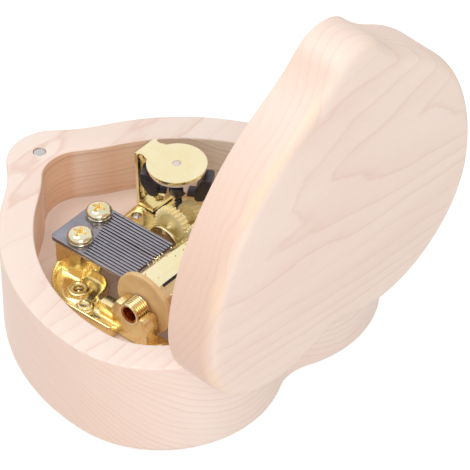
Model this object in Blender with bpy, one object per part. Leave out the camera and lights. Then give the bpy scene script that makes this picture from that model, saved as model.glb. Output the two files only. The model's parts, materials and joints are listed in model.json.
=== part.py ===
# Heart-shaped wooden music box with a spring-wound comb movement.
# Metres, +Z up. The box stands on its underside at z = 0, its tip points to -Y
# and the lid's hinge lies at the two lobes, towards +Y. The lid stands open.

import math

import bmesh
import bpy
from mathutils import Matrix, Vector

# Heart outline, seen from above
lobe_centre_x = 0.0174
lobe_centre_y = 0.0123
lobe_radius = 0.0282
notch_radius = 0.0112
flank_radius = 0.0407
tip_radius = 0.0109
tip_y = -0.0494
tip_flare = 0.0047
wall = 0.0083
inner_tip_radius = 0.0091

# Base
base_height = 0.0260
floor_thickness = 0.0112
foot_ease = 0.0012
rim_ease = 0.0004

# Lid
lid_thickness = 0.0128
lid_round = 0.0032
lid_cavity = 0.0060
open_angle = math.radians(95.5)

# Hinges: turned brass barrels sunk in both halves
hinge_back = 0.0036
hinge_drop = 0.0011
hinge_spread = 0.0174
barrel_radius = 0.0025
barrel_depth = 0.0090
barrel_start = 0.0029
knuckle_radius = 0.0015
tongue_width = 0.0016
ear_width = 0.0009
hinge_pin_radius = 0.0006

# Catch magnets
magnet_radius = 0.0015
magnet_length = 0.0020
magnet_y = -0.0425

# Clearances
seat_gap = 0.0003
bore_gap = 0.00012
tine_gap = 0.00015

# Bedplate
plate_thickness = 0.0016
plate_near_x = 0.0270
plate_back_y = 0.0180
plate_back_chamfer = 0.0050
plate_margin = 0.0020
plate_governor_margin = 0.0092
plate_lobe_radius = 0.0134
plate_lobe_y = -0.0084
plate_rim_width = 0.0008
plate_rim_height = 0.0018
wall_x = 0.0190
wall_y = -0.0051
wall_bend_radius = 0.0050
wall_turn_radius = 0.0023
wall_height = 0.0022
web_radius = 0.0036
web_thickness = 0.0010
web_drop = 0.0012
seat_far_x = 0.0022
seat_inset = 0.0005
tine_window_x = 0.0004
post_thickness = 0.0020
post_near_thickness = 0.0029
post_face_thickness = 0.0039
post_face_reach = 0.0054
post_near_reach = 0.0105
post_near_shoulder = 0.0042
post_near_neck = 0.0066
post_arm_rise = 0.0018
post_arm_width = 0.0011
post_back_reach = 0.0053
post_shoulder_rise = 0.0012
post_far_head = 0.0026
post_far_reach = 0.0054
post_far_shoulder = 0.0024
bush_radius = 0.0029
bush_mouth_radius = 0.0021
bush_mouth_depth = 0.0031
bush_length = 0.0044
bush_ridge = 0.00020
bush_ridges = 9
boss_radius = 0.0026
boss_height = 0.0014
stud_place = (0.0238, -0.0066)
rivet_place = (-0.0165, -0.0190)
mount_screw_near = (0.0208, -0.0112)
mount_screw_rear = (0.0236, 0.0160)
mount_screw_far = (-0.0085, -0.0195)
small_shank = 0.0010
rivet_shank = 0.0008

# Drum
drum_y = 0.0081
drum_z = 0.0196
drum_radius = 0.0064
drum_near_x = 0.0181
drum_length = 0.0187
drum_wall = 0.0009
pin_height = 0.00045
pin_width = 0.00034
pin_rows = 40
cap_radius = 0.0081
cap_thickness = 0.0013
arbor_radius = 0.0010
seam_width = 0.0017
seam_depth = 0.0004
seam_angle = math.radians(56.5)
seam_near_x = 0.0161
seam_far_x = 0.0009

# Comb
tine_count = 18
tine_pitch = 0.00093
tine_slot = 0.00030
comb_near_x = 0.0177
comb_top = 0.0223
comb_thickness = 0.0011
tine_tip_thickness = 0.0006
comb_back_y = -0.0229
comb_corner = 0.0012
slot_root_near_y = -0.0125
slot_root_far_y = -0.0170
comb_screw_radius = 0.0032
comb_screw_head = 0.0023
seat_reach = 0.0027
comb_screw_shank = 0.0013
comb_screw_near = (0.0141, -0.0164)
comb_screw_far = (0.0047, -0.0190)

# Train: drum gear, idler, worm wheel and governor worm
gear_module = 0.00035
drum_gear_teeth = 43
idler_teeth = 27
pinion_teeth = 12
gear_width = 0.0020
gear_bottom_share = 1.15
gear_tip_share = 0.9
gear_tooth_share = 0.46
idler_recess_depth = 0.0008
idler_rim = 0.0012
gear_near_x = -0.0038
wheel_y = -0.0078
wheel_z = 0.0153
worm_wheel_teeth = 22
worm_wheel_radius = 0.0034
worm_wheel_width = 0.0024
worm_tooth = 0.00028
worm_wave = 0.68
worm_wheel_root_share = 0.95
worm_wheel_tip_share = 0.66
worm_wheel_tooth_share = 0.42
pivot_radius = 0.0005
pivot_length = 0.0008
train_plate_thickness = 0.0010
train_plate_head = 0.0019
train_plate_crown = 0.0047
train_plate_rise = 0.0009
sleeve_radius = 0.0011
train_plate_near_x = -0.0014
train_plate_far_x = -0.0078

# Governor
governor_x = -0.0153
governor_top = 0.0291
worm_radius = 0.0008
worm_starts = 2
worm_bottom = 0.0136
hub_radius = 0.0022
hub_foot_radius = 0.0011
hub_cone = 0.0014
hub_bottom = 0.0189
hub_top = 0.0222
ring_radius = 0.0066
ring_thickness = 0.0008
ring_top = 0.0277
ring_pin_radius = 0.0005
ring_pin_length = 0.0022
ring_pin_reach = 0.0057
ring_pin_turn = math.radians(62)
wing_inner = 0.0044
wing_outer = 0.0087
wing_foot = 0.0022
wing_width = 0.0046
wing_bottom = 0.0196
wing_top = 0.0264
wing_arm_height = 0.0010
wing_turn = math.radians(-60)
cover_radius = 0.0073
cover_thickness = 0.0008
bracket_width = 0.0074
bracket_thickness = 0.0009
bracket_y = -0.0222
jewel_radius = 0.0009
rivet_head = 0.0015
rivet_rise = 0.0009
stud_head = 0.0019
stud_rise = 0.0012

# Spring works
crown_teeth = 40
crown_pinion_teeth = 11
crown_module = 0.00045
crown_tooth_height = 0.0008
crown_width = 0.0016
crown_pinion_margin = 0.0002
crown_tooth_root = 0.0001
arbor_tail = 0.0004
barrel_centre_x = -0.0196
housing_radius = 0.0103
housing_height = 0.0040
housing_wall = 0.0006
great_wheel_thickness = 0.0007
spring_turns = 6
spring_thickness = 0.00030
winding_arbor_radius = 0.0013
winding_arbor_stub = 0.0006

# Key and its recess in the underside
recess_radius = 0.0140
recess_depth = 0.0085
key_wing_span = 0.0220
key_wing_height = 0.0056
key_wing_thickness = 0.0014
key_hub_radius = 0.0026
key_stand = 0.0009
key_grip = 0.0040

# Fasteners
mount_screw_radius = 0.0011
mount_head_radius = 0.0024
mount_head_height = 0.0014
counterbore_depth = 0.0050

# Number of straight sides on round pieces
ROUND = 32
BUSH_ROUND = 24
SMALL_ROUND = 16
TINY_ROUND = 10

# Places that follow from the sizes above
hinge_y = lobe_centre_y + lobe_radius - hinge_back
lid_seat = base_height + seat_gap
hinge_z = base_height + seat_gap / 2 - hinge_drop
bedplate_bottom = floor_thickness + seat_gap
bedplate_top = bedplate_bottom + plate_thickness
drum_gear_radius = gear_module * drum_gear_teeth / 2
idler_radius = gear_module * idler_teeth / 2
pinion_radius = gear_module * pinion_teeth / 2
governor_y = wheel_y - worm_wheel_radius - worm_radius
drum_far_x = drum_near_x - drum_length
wheel_centre_x = governor_x
wing_height = wing_top - wing_bottom
crown_radius = crown_module * crown_teeth / 2
crown_pinion_radius = crown_module * crown_pinion_teeth / 2
crown_pinion_x = barrel_centre_x + crown_radius
crown_top = drum_z - crown_pinion_radius + crown_module * 0.6
crown_base = crown_top - crown_tooth_height
key_x = barrel_centre_x
key_y = drum_y


def circle_meet(first, first_radius, second, second_radius):
    """The meeting point, with the larger X, of two circles."""
    gap = (second - first).length
    along = (first_radius**2 - second_radius**2 + gap**2) / (2 * gap)
    aside = math.sqrt(max(first_radius**2 - along**2, 0.0))
    step = (second - first).normalized()
    side = Vector((-step.y, step.x))
    options = (first + step * along + side * aside, first + step * along - side * aside)
    return max(options, key=lambda p: p.x)


# The idler sits where it meshes with the drum gear and the wheel's pinion
drum_point = Vector((drum_y, drum_z))
wheel_point = Vector((wheel_y, wheel_z))
reach_drum = drum_gear_radius + idler_radius
reach_wheel = idler_radius + pinion_radius
span = (drum_point - wheel_point).length
along_span = (reach_wheel**2 - reach_drum**2 + span**2) / (2 * span)
above_span = math.sqrt(max(reach_wheel**2 - along_span**2, 0.0))
span_step = (drum_point - wheel_point).normalized()
idler_point = wheel_point + span_step * along_span + Vector((-span_step.y, span_step.x)) * above_span


def arc(centre, radius, start, end, count):
    points = []
    for step in range(count + 1):
        angle = start + (end - start) * step / count
        points.append(Vector((centre[0] + radius * math.cos(angle), centre[1] + radius * math.sin(angle))))
    return points


def bearing(start, end):
    return math.atan2(end.y - start.y, end.x - start.x)


def heart_outline(offset, inner_tip=None):
    """Heart curve of tangent arcs, moved inwards by offset, counter-clockwise."""
    lobe = Vector((lobe_centre_x, lobe_centre_y))
    notch_rise = math.sqrt((lobe_radius + notch_radius) ** 2 - lobe_centre_x**2)
    notch = Vector((0.0, lobe_centre_y + notch_rise))
    tip = Vector((0.0, tip_y + tip_radius))
    half_width = lobe_centre_x + lobe_radius
    drop = lobe_centre_y - tip.y
    reach = tip_flare - tip_radius
    side_radius = (half_width**2 + drop**2 - reach**2) / (2 * (half_width + reach))
    side = Vector((half_width - side_radius, lobe_centre_y))
    flank = circle_meet(side, side_radius + flank_radius, tip, tip_radius + flank_radius)
    if inner_tip is None:
        tip_r = tip_radius - offset
    else:
        tip_r = inner_tip
        reach_tip = flank_radius + offset + tip_r
        tip = Vector((0.0, flank.y + math.sqrt(max(reach_tip**2 - flank.x**2, 0.0))))
    to_notch = bearing(notch, lobe)
    from_lobe = bearing(lobe, notch)
    to_side = bearing(side, flank)
    from_flank = bearing(flank, side) % (2 * math.pi)
    to_tip = bearing(flank, tip) % (2 * math.pi)
    half = arc(notch, notch_radius + offset, -math.pi / 2, to_notch, 5)
    half += arc(lobe, lobe_radius - offset, from_lobe, 0.0, 14)[1:]
    half += arc(side, side_radius - offset, 0.0, to_side, 10)[1:]
    half += arc(flank, flank_radius + offset, from_flank, to_tip, 5)[1:]
    half += arc(tip, tip_r, bearing(tip, flank), -math.pi / 2, 5)[1:]
    mirrored = [Vector((-p.x, p.y)) for p in half[1:-1]]
    return mirrored + half[::-1]


materials = {}


def material(name, colour, roughness, metallic):
    if name not in materials:
        made = bpy.data.materials.new(name)
        made.use_nodes = True
        shader = made.node_tree.nodes["Principled BSDF"]
        shader.inputs["Base Color"].default_value = (*colour, 1.0)
        shader.inputs["Roughness"].default_value = roughness
        shader.inputs["Metallic"].default_value = metallic
        made.diffuse_color = (*colour, 1.0)
        materials[name] = made
    return materials[name]


def maple():
    return material("maple", (0.86, 0.68, 0.52), 0.55, 0.0)


def gilt():
    return material("gilt", (0.83, 0.60, 0.22), 0.22, 1.0)


def steel():
    return material("steel", (0.30, 0.30, 0.32), 0.35, 1.0)


def bright_steel():
    return material("bright_steel", (0.62, 0.62, 0.62), 0.25, 1.0)


def nylon():
    return material("nylon", (0.85, 0.74, 0.52), 0.45, 0.0)


def black_plastic():
    return material("black_plastic", (0.02, 0.02, 0.025), 0.35, 0.0)


def pale_plastic():
    return material("pale_plastic", (0.86, 0.80, 0.74), 0.4, 0.0)


def finish_object(name, mesh_data, look, origin=(0.0, 0.0, 0.0), parent=None):
    """Make the closed mesh an object whose origin is moved to the given point."""
    bmesh.ops.remove_doubles(mesh_data, verts=mesh_data.verts, dist=1e-7)
    bmesh.ops.recalc_face_normals(mesh_data, faces=mesh_data.faces)
    bmesh.ops.translate(mesh_data, vec=-Vector(origin), verts=mesh_data.verts)
    mesh = bpy.data.meshes.new(name)
    mesh_data.to_mesh(mesh)
    mesh_data.free()
    mesh.shade_smooth()
    mesh.set_sharp_from_angle(angle=math.radians(35))
    made = bpy.data.objects.new(name, mesh)
    made.data.materials.append(look)
    bpy.context.scene.collection.objects.link(made)
    if parent is None:
        made.location = origin
    else:
        made.parent = parent
        made.location = Vector(origin) - closed_hinge_point()
    return made


def closed_hinge_point():
    return Vector((0.0, hinge_y, hinge_z))


def add_loops(mesh_data, loops, closed=False):
    """Join rings of equal count by quads, and cap the two ends unless closed."""
    rings = [[mesh_data.verts.new(p) for p in loop] for loop in loops]
    pairs = list(zip(rings, rings[1:]))
    if closed:
        pairs.append((rings[-1], rings[0]))
    for lower, upper in pairs:
        for i in range(len(lower)):
            j = (i + 1) % len(lower)
            mesh_data.faces.new((lower[i], lower[j], upper[j], upper[i]))
    if not closed:
        mesh_data.faces.new(rings[0][::-1])
        mesh_data.faces.new(rings[-1])


def flat_loop(outline, z):
    return [Vector((p[0], p[1], z)) for p in outline]


def add_prism(mesh_data, outline, low, high, axis="Z"):
    """Extrude an outline along an axis. Along X the outline is in (Y, Z)."""
    if axis == "Z":
        loops = [[Vector((p[0], p[1], at)) for p in outline] for at in (low, high)]
    elif axis == "X":
        loops = [[Vector((at, p[0], p[1])) for p in outline] for at in (low, high)]
    else:
        loops = [[Vector((p[0], at, p[1])) for p in outline] for at in (low, high)]
    add_loops(mesh_data, loops)


def box_outline(low_a, high_a, low_b, high_b):
    return [(low_a, low_b), (high_a, low_b), (high_a, high_b), (low_a, high_b)]


def add_box(mesh_data, low, high):
    add_prism(mesh_data, box_outline(low[0], high[0], low[1], high[1]), low[2], high[2])


def add_turned(mesh_data, profile, centre, axis="Z", sides=ROUND, closed=False):
    """Turn a profile of (radius, height) pairs about an axis through centre."""
    rings = []
    for radius, height in profile:
        ring = []
        for step in range(sides):
            angle = 2 * math.pi * step / sides
            a = radius * math.cos(angle)
            b = radius * math.sin(angle)
            offset = {"Z": (a, b, height), "X": (height, a, b), "Y": (b, height, a)}[axis]
            ring.append(Vector(centre) + Vector(offset))
        rings.append(ring)
    add_loops(mesh_data, rings, closed)


def turned(name, profile, centre, look, axis="Z", sides=ROUND, closed=False, parent=None):
    mesh_data = bmesh.new()
    add_turned(mesh_data, profile, centre, axis, sides, closed)
    return finish_object(name, mesh_data, look, centre, parent)


def prism(name, outline, low, high, look, axis="Z", origin=(0.0, 0.0, 0.0), parent=None):
    mesh_data = bmesh.new()
    add_prism(mesh_data, outline, low, high, axis)
    return finish_object(name, mesh_data, look, origin, parent)


def tool_object(name, mesh_data, parent=None):
    """A cutting or joining shape that isn't part of the box."""
    made = finish_object(name, mesh_data, bright_steel(), parent=parent)
    if parent is not None:
        made.location = -closed_hinge_point()
    made.hide_render = True
    made.display_type = "WIRE"
    return made


def boolean(target, tool, operation="DIFFERENCE"):
    modifier = target.modifiers.new(tool.name, "BOOLEAN")
    modifier.operation = operation
    modifier.solver = "EXACT"
    modifier.object = tool


def cut_round(target, radius, low, high, centre, axis="Z", sides=SMALL_ROUND, parent=None):
    mesh_data = bmesh.new()
    add_turned(mesh_data, [(radius, low), (radius, high)], centre, axis, sides)
    boolean(target, tool_object("cut_" + target.name, mesh_data, parent))


def cut_prism(target, outline, low, high, axis="Z", parent=None):
    mesh_data = bmesh.new()
    add_prism(mesh_data, outline, low, high, axis)
    boolean(target, tool_object("cut_" + target.name, mesh_data, parent))


def join_prism(target, outline, low, high, axis="Z"):
    mesh_data = bmesh.new()
    add_prism(mesh_data, outline, low, high, axis)
    boolean(target, tool_object("join_" + target.name, mesh_data), "UNION")


def join_turned(target, profile, centre, axis="Z", sides=SMALL_ROUND):
    mesh_data = bmesh.new()
    add_turned(mesh_data, profile, centre, axis, sides)
    boolean(target, tool_object("join_" + target.name, mesh_data), "UNION")


# Wooden box


def bevel_wedge(upward):
    """Profile in (Y, Z) of the wood taken away behind the hinge axis."""
    slope = math.tan(open_angle / 2)
    shift = (seat_gap / 2) / math.cos(open_angle / 2)
    sign = 1.0 if upward else -1.0
    front_rise = hinge_drop + lid_thickness
    back_run = hinge_back + lobe_radius / 4
    front = (hinge_y - (front_rise + shift) / slope, hinge_z + sign * front_rise)
    back = (hinge_y + back_run, hinge_z - sign * (back_run * slope + shift))
    corner = (hinge_y + back_run, hinge_z + sign * front_rise)
    return [front, back, corner]


def make_base():
    outer = heart_outline(0.0)
    inner = heart_outline(wall, inner_tip_radius)
    loops = [
        flat_loop(heart_outline(foot_ease), 0.0),
        flat_loop(heart_outline(foot_ease * 0.3), foot_ease * 0.3),
        flat_loop(outer, foot_ease),
        flat_loop(outer, base_height - rim_ease),
        flat_loop(heart_outline(rim_ease), base_height),
        flat_loop(inner, base_height),
        flat_loop(inner, floor_thickness),
    ]
    mesh_data = bmesh.new()
    add_loops(mesh_data, loops)
    base = finish_object("base_box", mesh_data, maple())
    half_width = lobe_centre_x + lobe_radius
    cut_prism(base, bevel_wedge(True), -half_width, half_width, "X")
    for side in (-1, 1):
        centre = (side * hinge_spread, hinge_y, hinge_z)
        cut_round(base, barrel_radius + bore_gap, -barrel_depth - seat_gap, barrel_depth, centre)
    magnet_floor = base_height - magnet_length - seat_gap * 2
    cut_round(base, magnet_radius + bore_gap, magnet_floor, base_height * 1.1, (0.0, magnet_y, 0.0))
    recess_centre = (key_x, key_y, 0.0)
    cut_round(base, recess_radius, -recess_depth, recess_depth, recess_centre, sides=ROUND)
    arbor_hole = winding_arbor_radius * 2
    cut_round(base, arbor_hole, recess_depth / 2, base_height, recess_centre)
    for x, y in mount_screw_places():
        screw_hole = mount_screw_radius + bore_gap * 2
        head_hole = mount_head_radius + bore_gap * 2
        cut_round(base, screw_hole, counterbore_depth / 2, base_height, (x, y, 0.0))
        cut_round(base, head_hole, -counterbore_depth, counterbore_depth, (x, y, 0.0))
    return base


def make_lid(lid_axis):
    top = lid_seat + lid_thickness
    outer = heart_outline(0.0)
    cavity = heart_outline(wall, inner_tip_radius)
    round_steps = 3
    loops = [
        flat_loop(cavity, lid_seat + lid_cavity),
        flat_loop(cavity, lid_seat),
        flat_loop(heart_outline(rim_ease), lid_seat),
        flat_loop(outer, lid_seat + rim_ease),
    ]
    for step in range(round_steps + 1):
        angle = math.pi / 2 * step / round_steps
        inset = lid_round * (1 - math.cos(angle))
        rise = top - lid_round + lid_round * math.sin(angle)
        loops.append(flat_loop(heart_outline(inset), rise))
    mesh_data = bmesh.new()
    add_loops(mesh_data, loops)
    lid = finish_object("lid", mesh_data, maple(), closed_hinge_point(), lid_axis)
    half_width = lobe_centre_x + lobe_radius
    cut_prism(lid, bevel_wedge(False), -half_width, half_width, "X", lid_axis)
    for side in (-1, 1):
        centre = (side * hinge_spread, hinge_y, hinge_z)
        bore_end = barrel_depth + seat_gap
        cut_round(lid, barrel_radius + bore_gap, -barrel_depth, bore_end, centre, parent=lid_axis)
    magnet_roof = lid_seat + magnet_length + seat_gap * 2
    magnet_centre = (0.0, magnet_y, 0.0)
    cut_round(lid, magnet_radius + bore_gap, base_height / 2, magnet_roof, magnet_centre, parent=lid_axis)
    return lid


def make_magnets(lid_axis):
    base_top = base_height - seat_gap / 2
    base_profile = [(magnet_radius, base_top - magnet_length), (magnet_radius, base_top)]
    turned("base_magnet", base_profile, (0.0, magnet_y, 0.0), bright_steel(), sides=SMALL_ROUND)
    lid_low = lid_seat + seat_gap / 2
    lid_profile = [(magnet_radius, lid_low), (magnet_radius, lid_low + magnet_length)]
    centre = (0.0, magnet_y, 0.0)
    turned("lid_magnet", lid_profile, centre, bright_steel(), sides=SMALL_ROUND, parent=lid_axis)


def knuckle_profile(sign):
    """Outline in (Y, Z) of a hinge knuckle with a round end about the axis."""
    points = [Vector((hinge_y - knuckle_radius, hinge_z + sign * barrel_start * 1.2))]
    points += arc((hinge_y, hinge_z), knuckle_radius, math.pi, math.pi * (1 + sign), 8)
    points.append(Vector((hinge_y + knuckle_radius, hinge_z + sign * barrel_start * 1.2)))
    return points


def make_hinge(side, name, lid_axis):
    x = side * hinge_spread
    centre = (x, hinge_y, hinge_z)
    low = [(barrel_radius, -barrel_depth), (barrel_radius, -barrel_start)]
    high = [(barrel_radius, barrel_start), (barrel_radius, barrel_depth)]
    lower = turned("hinge_base_barrel_" + name, low, centre, gilt(), sides=SMALL_ROUND)
    join_prism(lower, knuckle_profile(-1), x - tongue_width / 2, x + tongue_width / 2, "X")
    hole = hinge_pin_radius + bore_gap
    cut_round(lower, hole, -barrel_radius, barrel_radius, centre, "X", TINY_ROUND)
    upper_data = bmesh.new()
    add_turned(upper_data, high, centre, sides=SMALL_ROUND)
    upper = finish_object("hinge_lid_barrel_" + name, upper_data, gilt(), closed_hinge_point(), lid_axis)
    inner_face = tongue_width / 2 + bore_gap * 2
    for ear in (-1, 1):
        ends = sorted((x + ear * inner_face, x + ear * (inner_face + ear_width)))
        ear_data = bmesh.new()
        add_prism(ear_data, knuckle_profile(1), ends[0], ends[1], "X")
        boolean(upper, tool_object("join_" + upper.name, ear_data, lid_axis), "UNION")
    cut_round(upper, hole, -barrel_radius, barrel_radius, centre, "X", TINY_ROUND, lid_axis)
    pin_end = inner_face + ear_width
    pin = [(hinge_pin_radius, -pin_end), (hinge_pin_radius, pin_end)]
    turned("hinge_pin_" + name, pin, centre, bright_steel(), "X", TINY_ROUND)


# Movement: bedplate, comb and drum


def near_lobe():
    """Edge of the cast plate round the near end of the comb, back to front."""
    centre = (plate_near_x - plate_lobe_radius, plate_lobe_y)
    back = comb_back_y + plate_rim_width * 2
    start = math.asin(max((back - plate_lobe_y) / plate_lobe_radius, -0.95))
    end = Vector((plate_near_x, drum_y - bush_radius - post_arm_width))
    return arc(centre, plate_lobe_radius, start, 0.0, 9) + [end]


def bedplate_outline():
    """Plan of the cast plate: near lobe, straight back, governor corner, spring end."""
    back = comb_back_y + plate_rim_width
    face_x = post_near_x() + post_face_thickness
    post_back = drum_y + post_back_reach
    points = [Vector((face_x, post_back)), Vector((plate_near_x, post_back + seat_gap))]
    points.append(Vector((plate_near_x - plate_back_chamfer, plate_back_y)))
    points.append(Vector((barrel_centre_x + housing_radius + plate_margin, plate_back_y)))
    centre = (barrel_centre_x, drum_y)
    points += arc(centre, housing_radius + plate_margin, math.radians(50), math.radians(215), 12)
    points.append(Vector((governor_x - plate_governor_margin, governor_y)))
    points.append(Vector((governor_x - bracket_width / 2, back)))
    return points + near_lobe() + [Vector((face_x, near_lobe()[-1].y))]


def wall_curve():
    """Low S-shaped wall from the comb's seat to the near bearing post."""
    bend = (wall_x, wall_y - wall_bend_radius)
    turn = (wall_x, wall_y + wall_turn_radius)
    points = [Vector((wall_x - wall_bend_radius, seat_front_y() - seat_gap))]
    points += arc(bend, wall_bend_radius, math.pi, math.pi / 2, 7)
    points += arc(turn, wall_turn_radius, -math.pi / 2, 0.0, 5)[1:]
    points.append(Vector((wall_x + wall_turn_radius, drum_y - post_near_neck)))
    return points


def thicken(curve, width):
    """Outline of a band of the given width to the right of an open curve."""
    shifted = []
    for index, point in enumerate(curve):
        before = curve[max(index - 1, 0)]
        after = curve[min(index + 1, len(curve) - 1)]
        step = (after - before).normalized()
        shifted.append(point + Vector((step.y, -step.x)) * width)
    return curve + shifted[::-1]


def seat_near_x():
    return comb_near_x - seat_inset


def seat_front_y():
    return comb_screw_near[1] + seat_reach


def seat_web():
    """Plan of the hollow fillet between the seat's front and the low wall."""
    centre = (seat_near_x(), seat_front_y() + web_radius)
    points = arc(centre, web_radius, -math.pi / 2, -math.pi, 6)
    points.append(points[-1] - Vector((web_thickness, 0.0)))
    points.append(Vector((points[-1].x, seat_front_y() - web_thickness)))
    points.append(Vector((seat_near_x(), seat_front_y() - web_thickness)))
    return points


def post_near_x():
    return drum_near_x + cap_thickness + seat_gap * 3


def bush_start():
    return post_near_x() - seat_gap


def pinion_ends(clear):
    """X of both ends of the wheel's pinion, with a clearance beyond them."""
    return gear_near_x - gear_width - seat_gap - clear, gear_near_x + seat_gap + clear


def mount_screw_places():
    return [mount_screw_near, mount_screw_rear, mount_screw_far]


def cut_plate(plate, outline):
    """Cut right through the bedplate, below and above it."""
    cut_prism(plate, outline, bedplate_bottom - plate_thickness, drum_z)


def make_bedplate():
    plate = prism("bedplate", bedplate_outline(), bedplate_bottom, bedplate_top, gilt())
    # Open under the drum, its gear, the tines, the pinion and the worm wheel
    clear = seat_gap * 2
    drum_hole_low = drum_y - drum_gear_radius - gear_module - clear
    drum_hole_high = drum_y + drum_gear_radius + gear_module + clear
    drum_hole_x = gear_near_x - gear_width - clear
    hole_near_x = post_near_x() - seat_gap
    cut_plate(plate, box_outline(drum_hole_x, hole_near_x, drum_hole_low, drum_hole_high))
    tine_window = [Vector((p.x - seat_gap, p.y)) for p in wall_curve() if p.x < hole_near_x]
    tine_window = [p for p in tine_window if p.y < drum_hole_low]
    tine_window.append(Vector((hole_near_x, drum_hole_low + clear)))
    tine_window.append(Vector((tine_window_x, drum_hole_low + clear)))
    tine_window.append(Vector((tine_window_x, tine_window[0].y)))
    cut_plate(plate, tine_window)
    pinion_reach = pinion_radius + gear_module + clear
    pinion_hole = box_outline(*pinion_ends(seat_gap * 1.5), wheel_y - pinion_reach, wheel_y + pinion_reach)
    cut_plate(plate, pinion_hole)
    wheel_reach = worm_wheel_radius + worm_tooth + clear
    wheel_half = worm_wheel_width / 2 + clear
    wheel_ends = (wheel_centre_x - wheel_half, wheel_centre_x + wheel_half)
    cut_plate(plate, box_outline(*wheel_ends, wheel_y - wheel_reach, wheel_y + wheel_reach))
    low, high = bedplate_bottom - plate_thickness, drum_z
    cut_round(plate, housing_radius + seat_gap, low, high, (barrel_centre_x, drum_y, 0.0), sides=ROUND)
    # Seat that carries the comb, with its web
    root = bedplate_bottom + seat_gap
    seat_high = comb_top - comb_thickness - seat_gap
    seat = box_outline(seat_far_x, seat_near_x(), comb_back_y + comb_thickness, seat_front_y())
    join_prism(plate, seat, root, seat_high)
    join_prism(plate, seat_web(), root, seat_high - web_drop)
    for x, y in (comb_screw_near, comb_screw_far):
        cut_round(plate, comb_screw_shank + bore_gap, bedplate_top, comb_top, (x, y, 0.0))
    # Near lobe: boss, rim and wall, and the two bearing posts
    boss = [(boss_radius, root), (boss_radius, bedplate_top + boss_height)]
    join_turned(plate, boss, (*mount_screw_near, 0.0))
    rim = thicken(near_lobe(), -plate_rim_width)
    join_prism(plate, rim, root, bedplate_top + plate_rim_height)
    join_prism(plate, thicken(wall_curve(), plate_rim_width), root, bedplate_top + wall_height)
    post_ends = (post_near_x(), post_near_x() + post_face_thickness)
    join_prism(plate, near_post(), *post_ends, "X")
    join_prism(plate, post_shoulder(), post_near_x(), post_near_x() + post_near_thickness, "X")
    far_ends = (drum_hole_x - seat_gap - post_thickness, drum_hole_x - seat_gap)
    join_prism(plate, far_post(), *far_ends, "X")
    axis = (0.0, drum_y, drum_z)
    cut_round(plate, bush_radius + bore_gap, post_ends[0] - clear, post_ends[1] + clear, axis, "X", ROUND)
    cut_round(plate, arbor_radius + bore_gap, far_ends[0] - clear, far_ends[1] + clear, axis, "X", TINY_ROUND)
    # Pilot holes for the screws from below, the stud and the rivet
    above = bedplate_top + boss_height * 2
    for x, y in mount_screw_places():
        cut_round(plate, mount_screw_radius + bore_gap, low, above, (x, y, 0.0), sides=TINY_ROUND)
    cut_round(plate, small_shank + bore_gap, low, above, (*stud_place, 0.0), sides=TINY_ROUND)
    cut_round(plate, rivet_shank + bore_gap, low, above, (*rivet_place, 0.0), sides=TINY_ROUND)
    return plate


def near_post():
    """Outline in (Y, Z) of the broad post whose open cradle holds the bush."""
    foot = bedplate_bottom + seat_gap
    shoulder = bedplate_top + post_near_shoulder + post_shoulder_rise
    arm = bush_radius + post_arm_width
    arm_top = drum_z + post_arm_rise
    back = drum_y + post_back_reach
    return [
        Vector((drum_y - post_face_reach, foot)),
        Vector((drum_y - post_face_reach, shoulder)),
        Vector((drum_y - arm, arm_top)),
        Vector((drum_y, arm_top)),
        Vector((drum_y, drum_z)),
        Vector((drum_y + arm, drum_z)),
        Vector((back - post_arm_width / 4, drum_z - post_arm_rise)),
        Vector((back, bedplate_top + post_far_shoulder)),
        Vector((back, foot)),
    ]


def post_shoulder():
    """Outline in (Y, Z) of the lower shoulder beside the post, where the low wall ends."""
    foot = bedplate_bottom + seat_gap
    shoulder = bedplate_top + post_near_shoulder
    arm = bush_radius + post_arm_width
    return [
        Vector((drum_y - post_near_reach, foot)),
        Vector((drum_y - post_near_reach, shoulder)),
        Vector((drum_y - post_near_neck, shoulder)),
        Vector((drum_y - arm, drum_z + post_arm_rise)),
        Vector((drum_y - arm, foot)),
    ]


def far_post():
    """Outline in (Y, Z) of the post with a round head about the drum's axis."""
    foot = bedplate_bottom + seat_gap
    shoulder = bedplate_top + post_far_shoulder
    points = [Vector((drum_y - post_far_reach, foot)), Vector((drum_y - post_far_reach, shoulder))]
    points += arc((drum_y, drum_z), post_far_head, math.radians(170), math.radians(10), 10)
    points += [Vector((drum_y + post_far_reach, shoulder)), Vector((drum_y + post_far_reach, foot))]
    return points


def make_bush():
    """Bearing bush, ridged like a thread outside, wide at its mouth and narrow inside."""
    start = bush_start()
    end = start + bush_length
    hole = arbor_radius + bore_gap
    mouth_end = end - bush_mouth_depth
    step = bush_length / bush_ridges
    profile = [(hole, start)]
    for index in range(bush_ridges):
        low = start + step * index
        profile.append((bush_radius - bush_ridge, low))
        profile.append((bush_radius, low + step / 2))
    profile.append((bush_radius, end))
    profile += [(bush_mouth_radius, end), (bush_mouth_radius, mouth_end), (hole, mouth_end)]
    turned("threaded_bush", profile, (0.0, drum_y, drum_z), gilt(), "X", BUSH_ROUND, closed=True)


def tip_line():
    """Y of the tine tips, which clear the pins by tine_gap."""
    reach = drum_radius + pin_height
    rise = comb_top - tine_tip_thickness - drum_z
    return drum_y - math.sqrt(max(reach**2 - rise**2, 0.0)) - tine_gap


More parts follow.
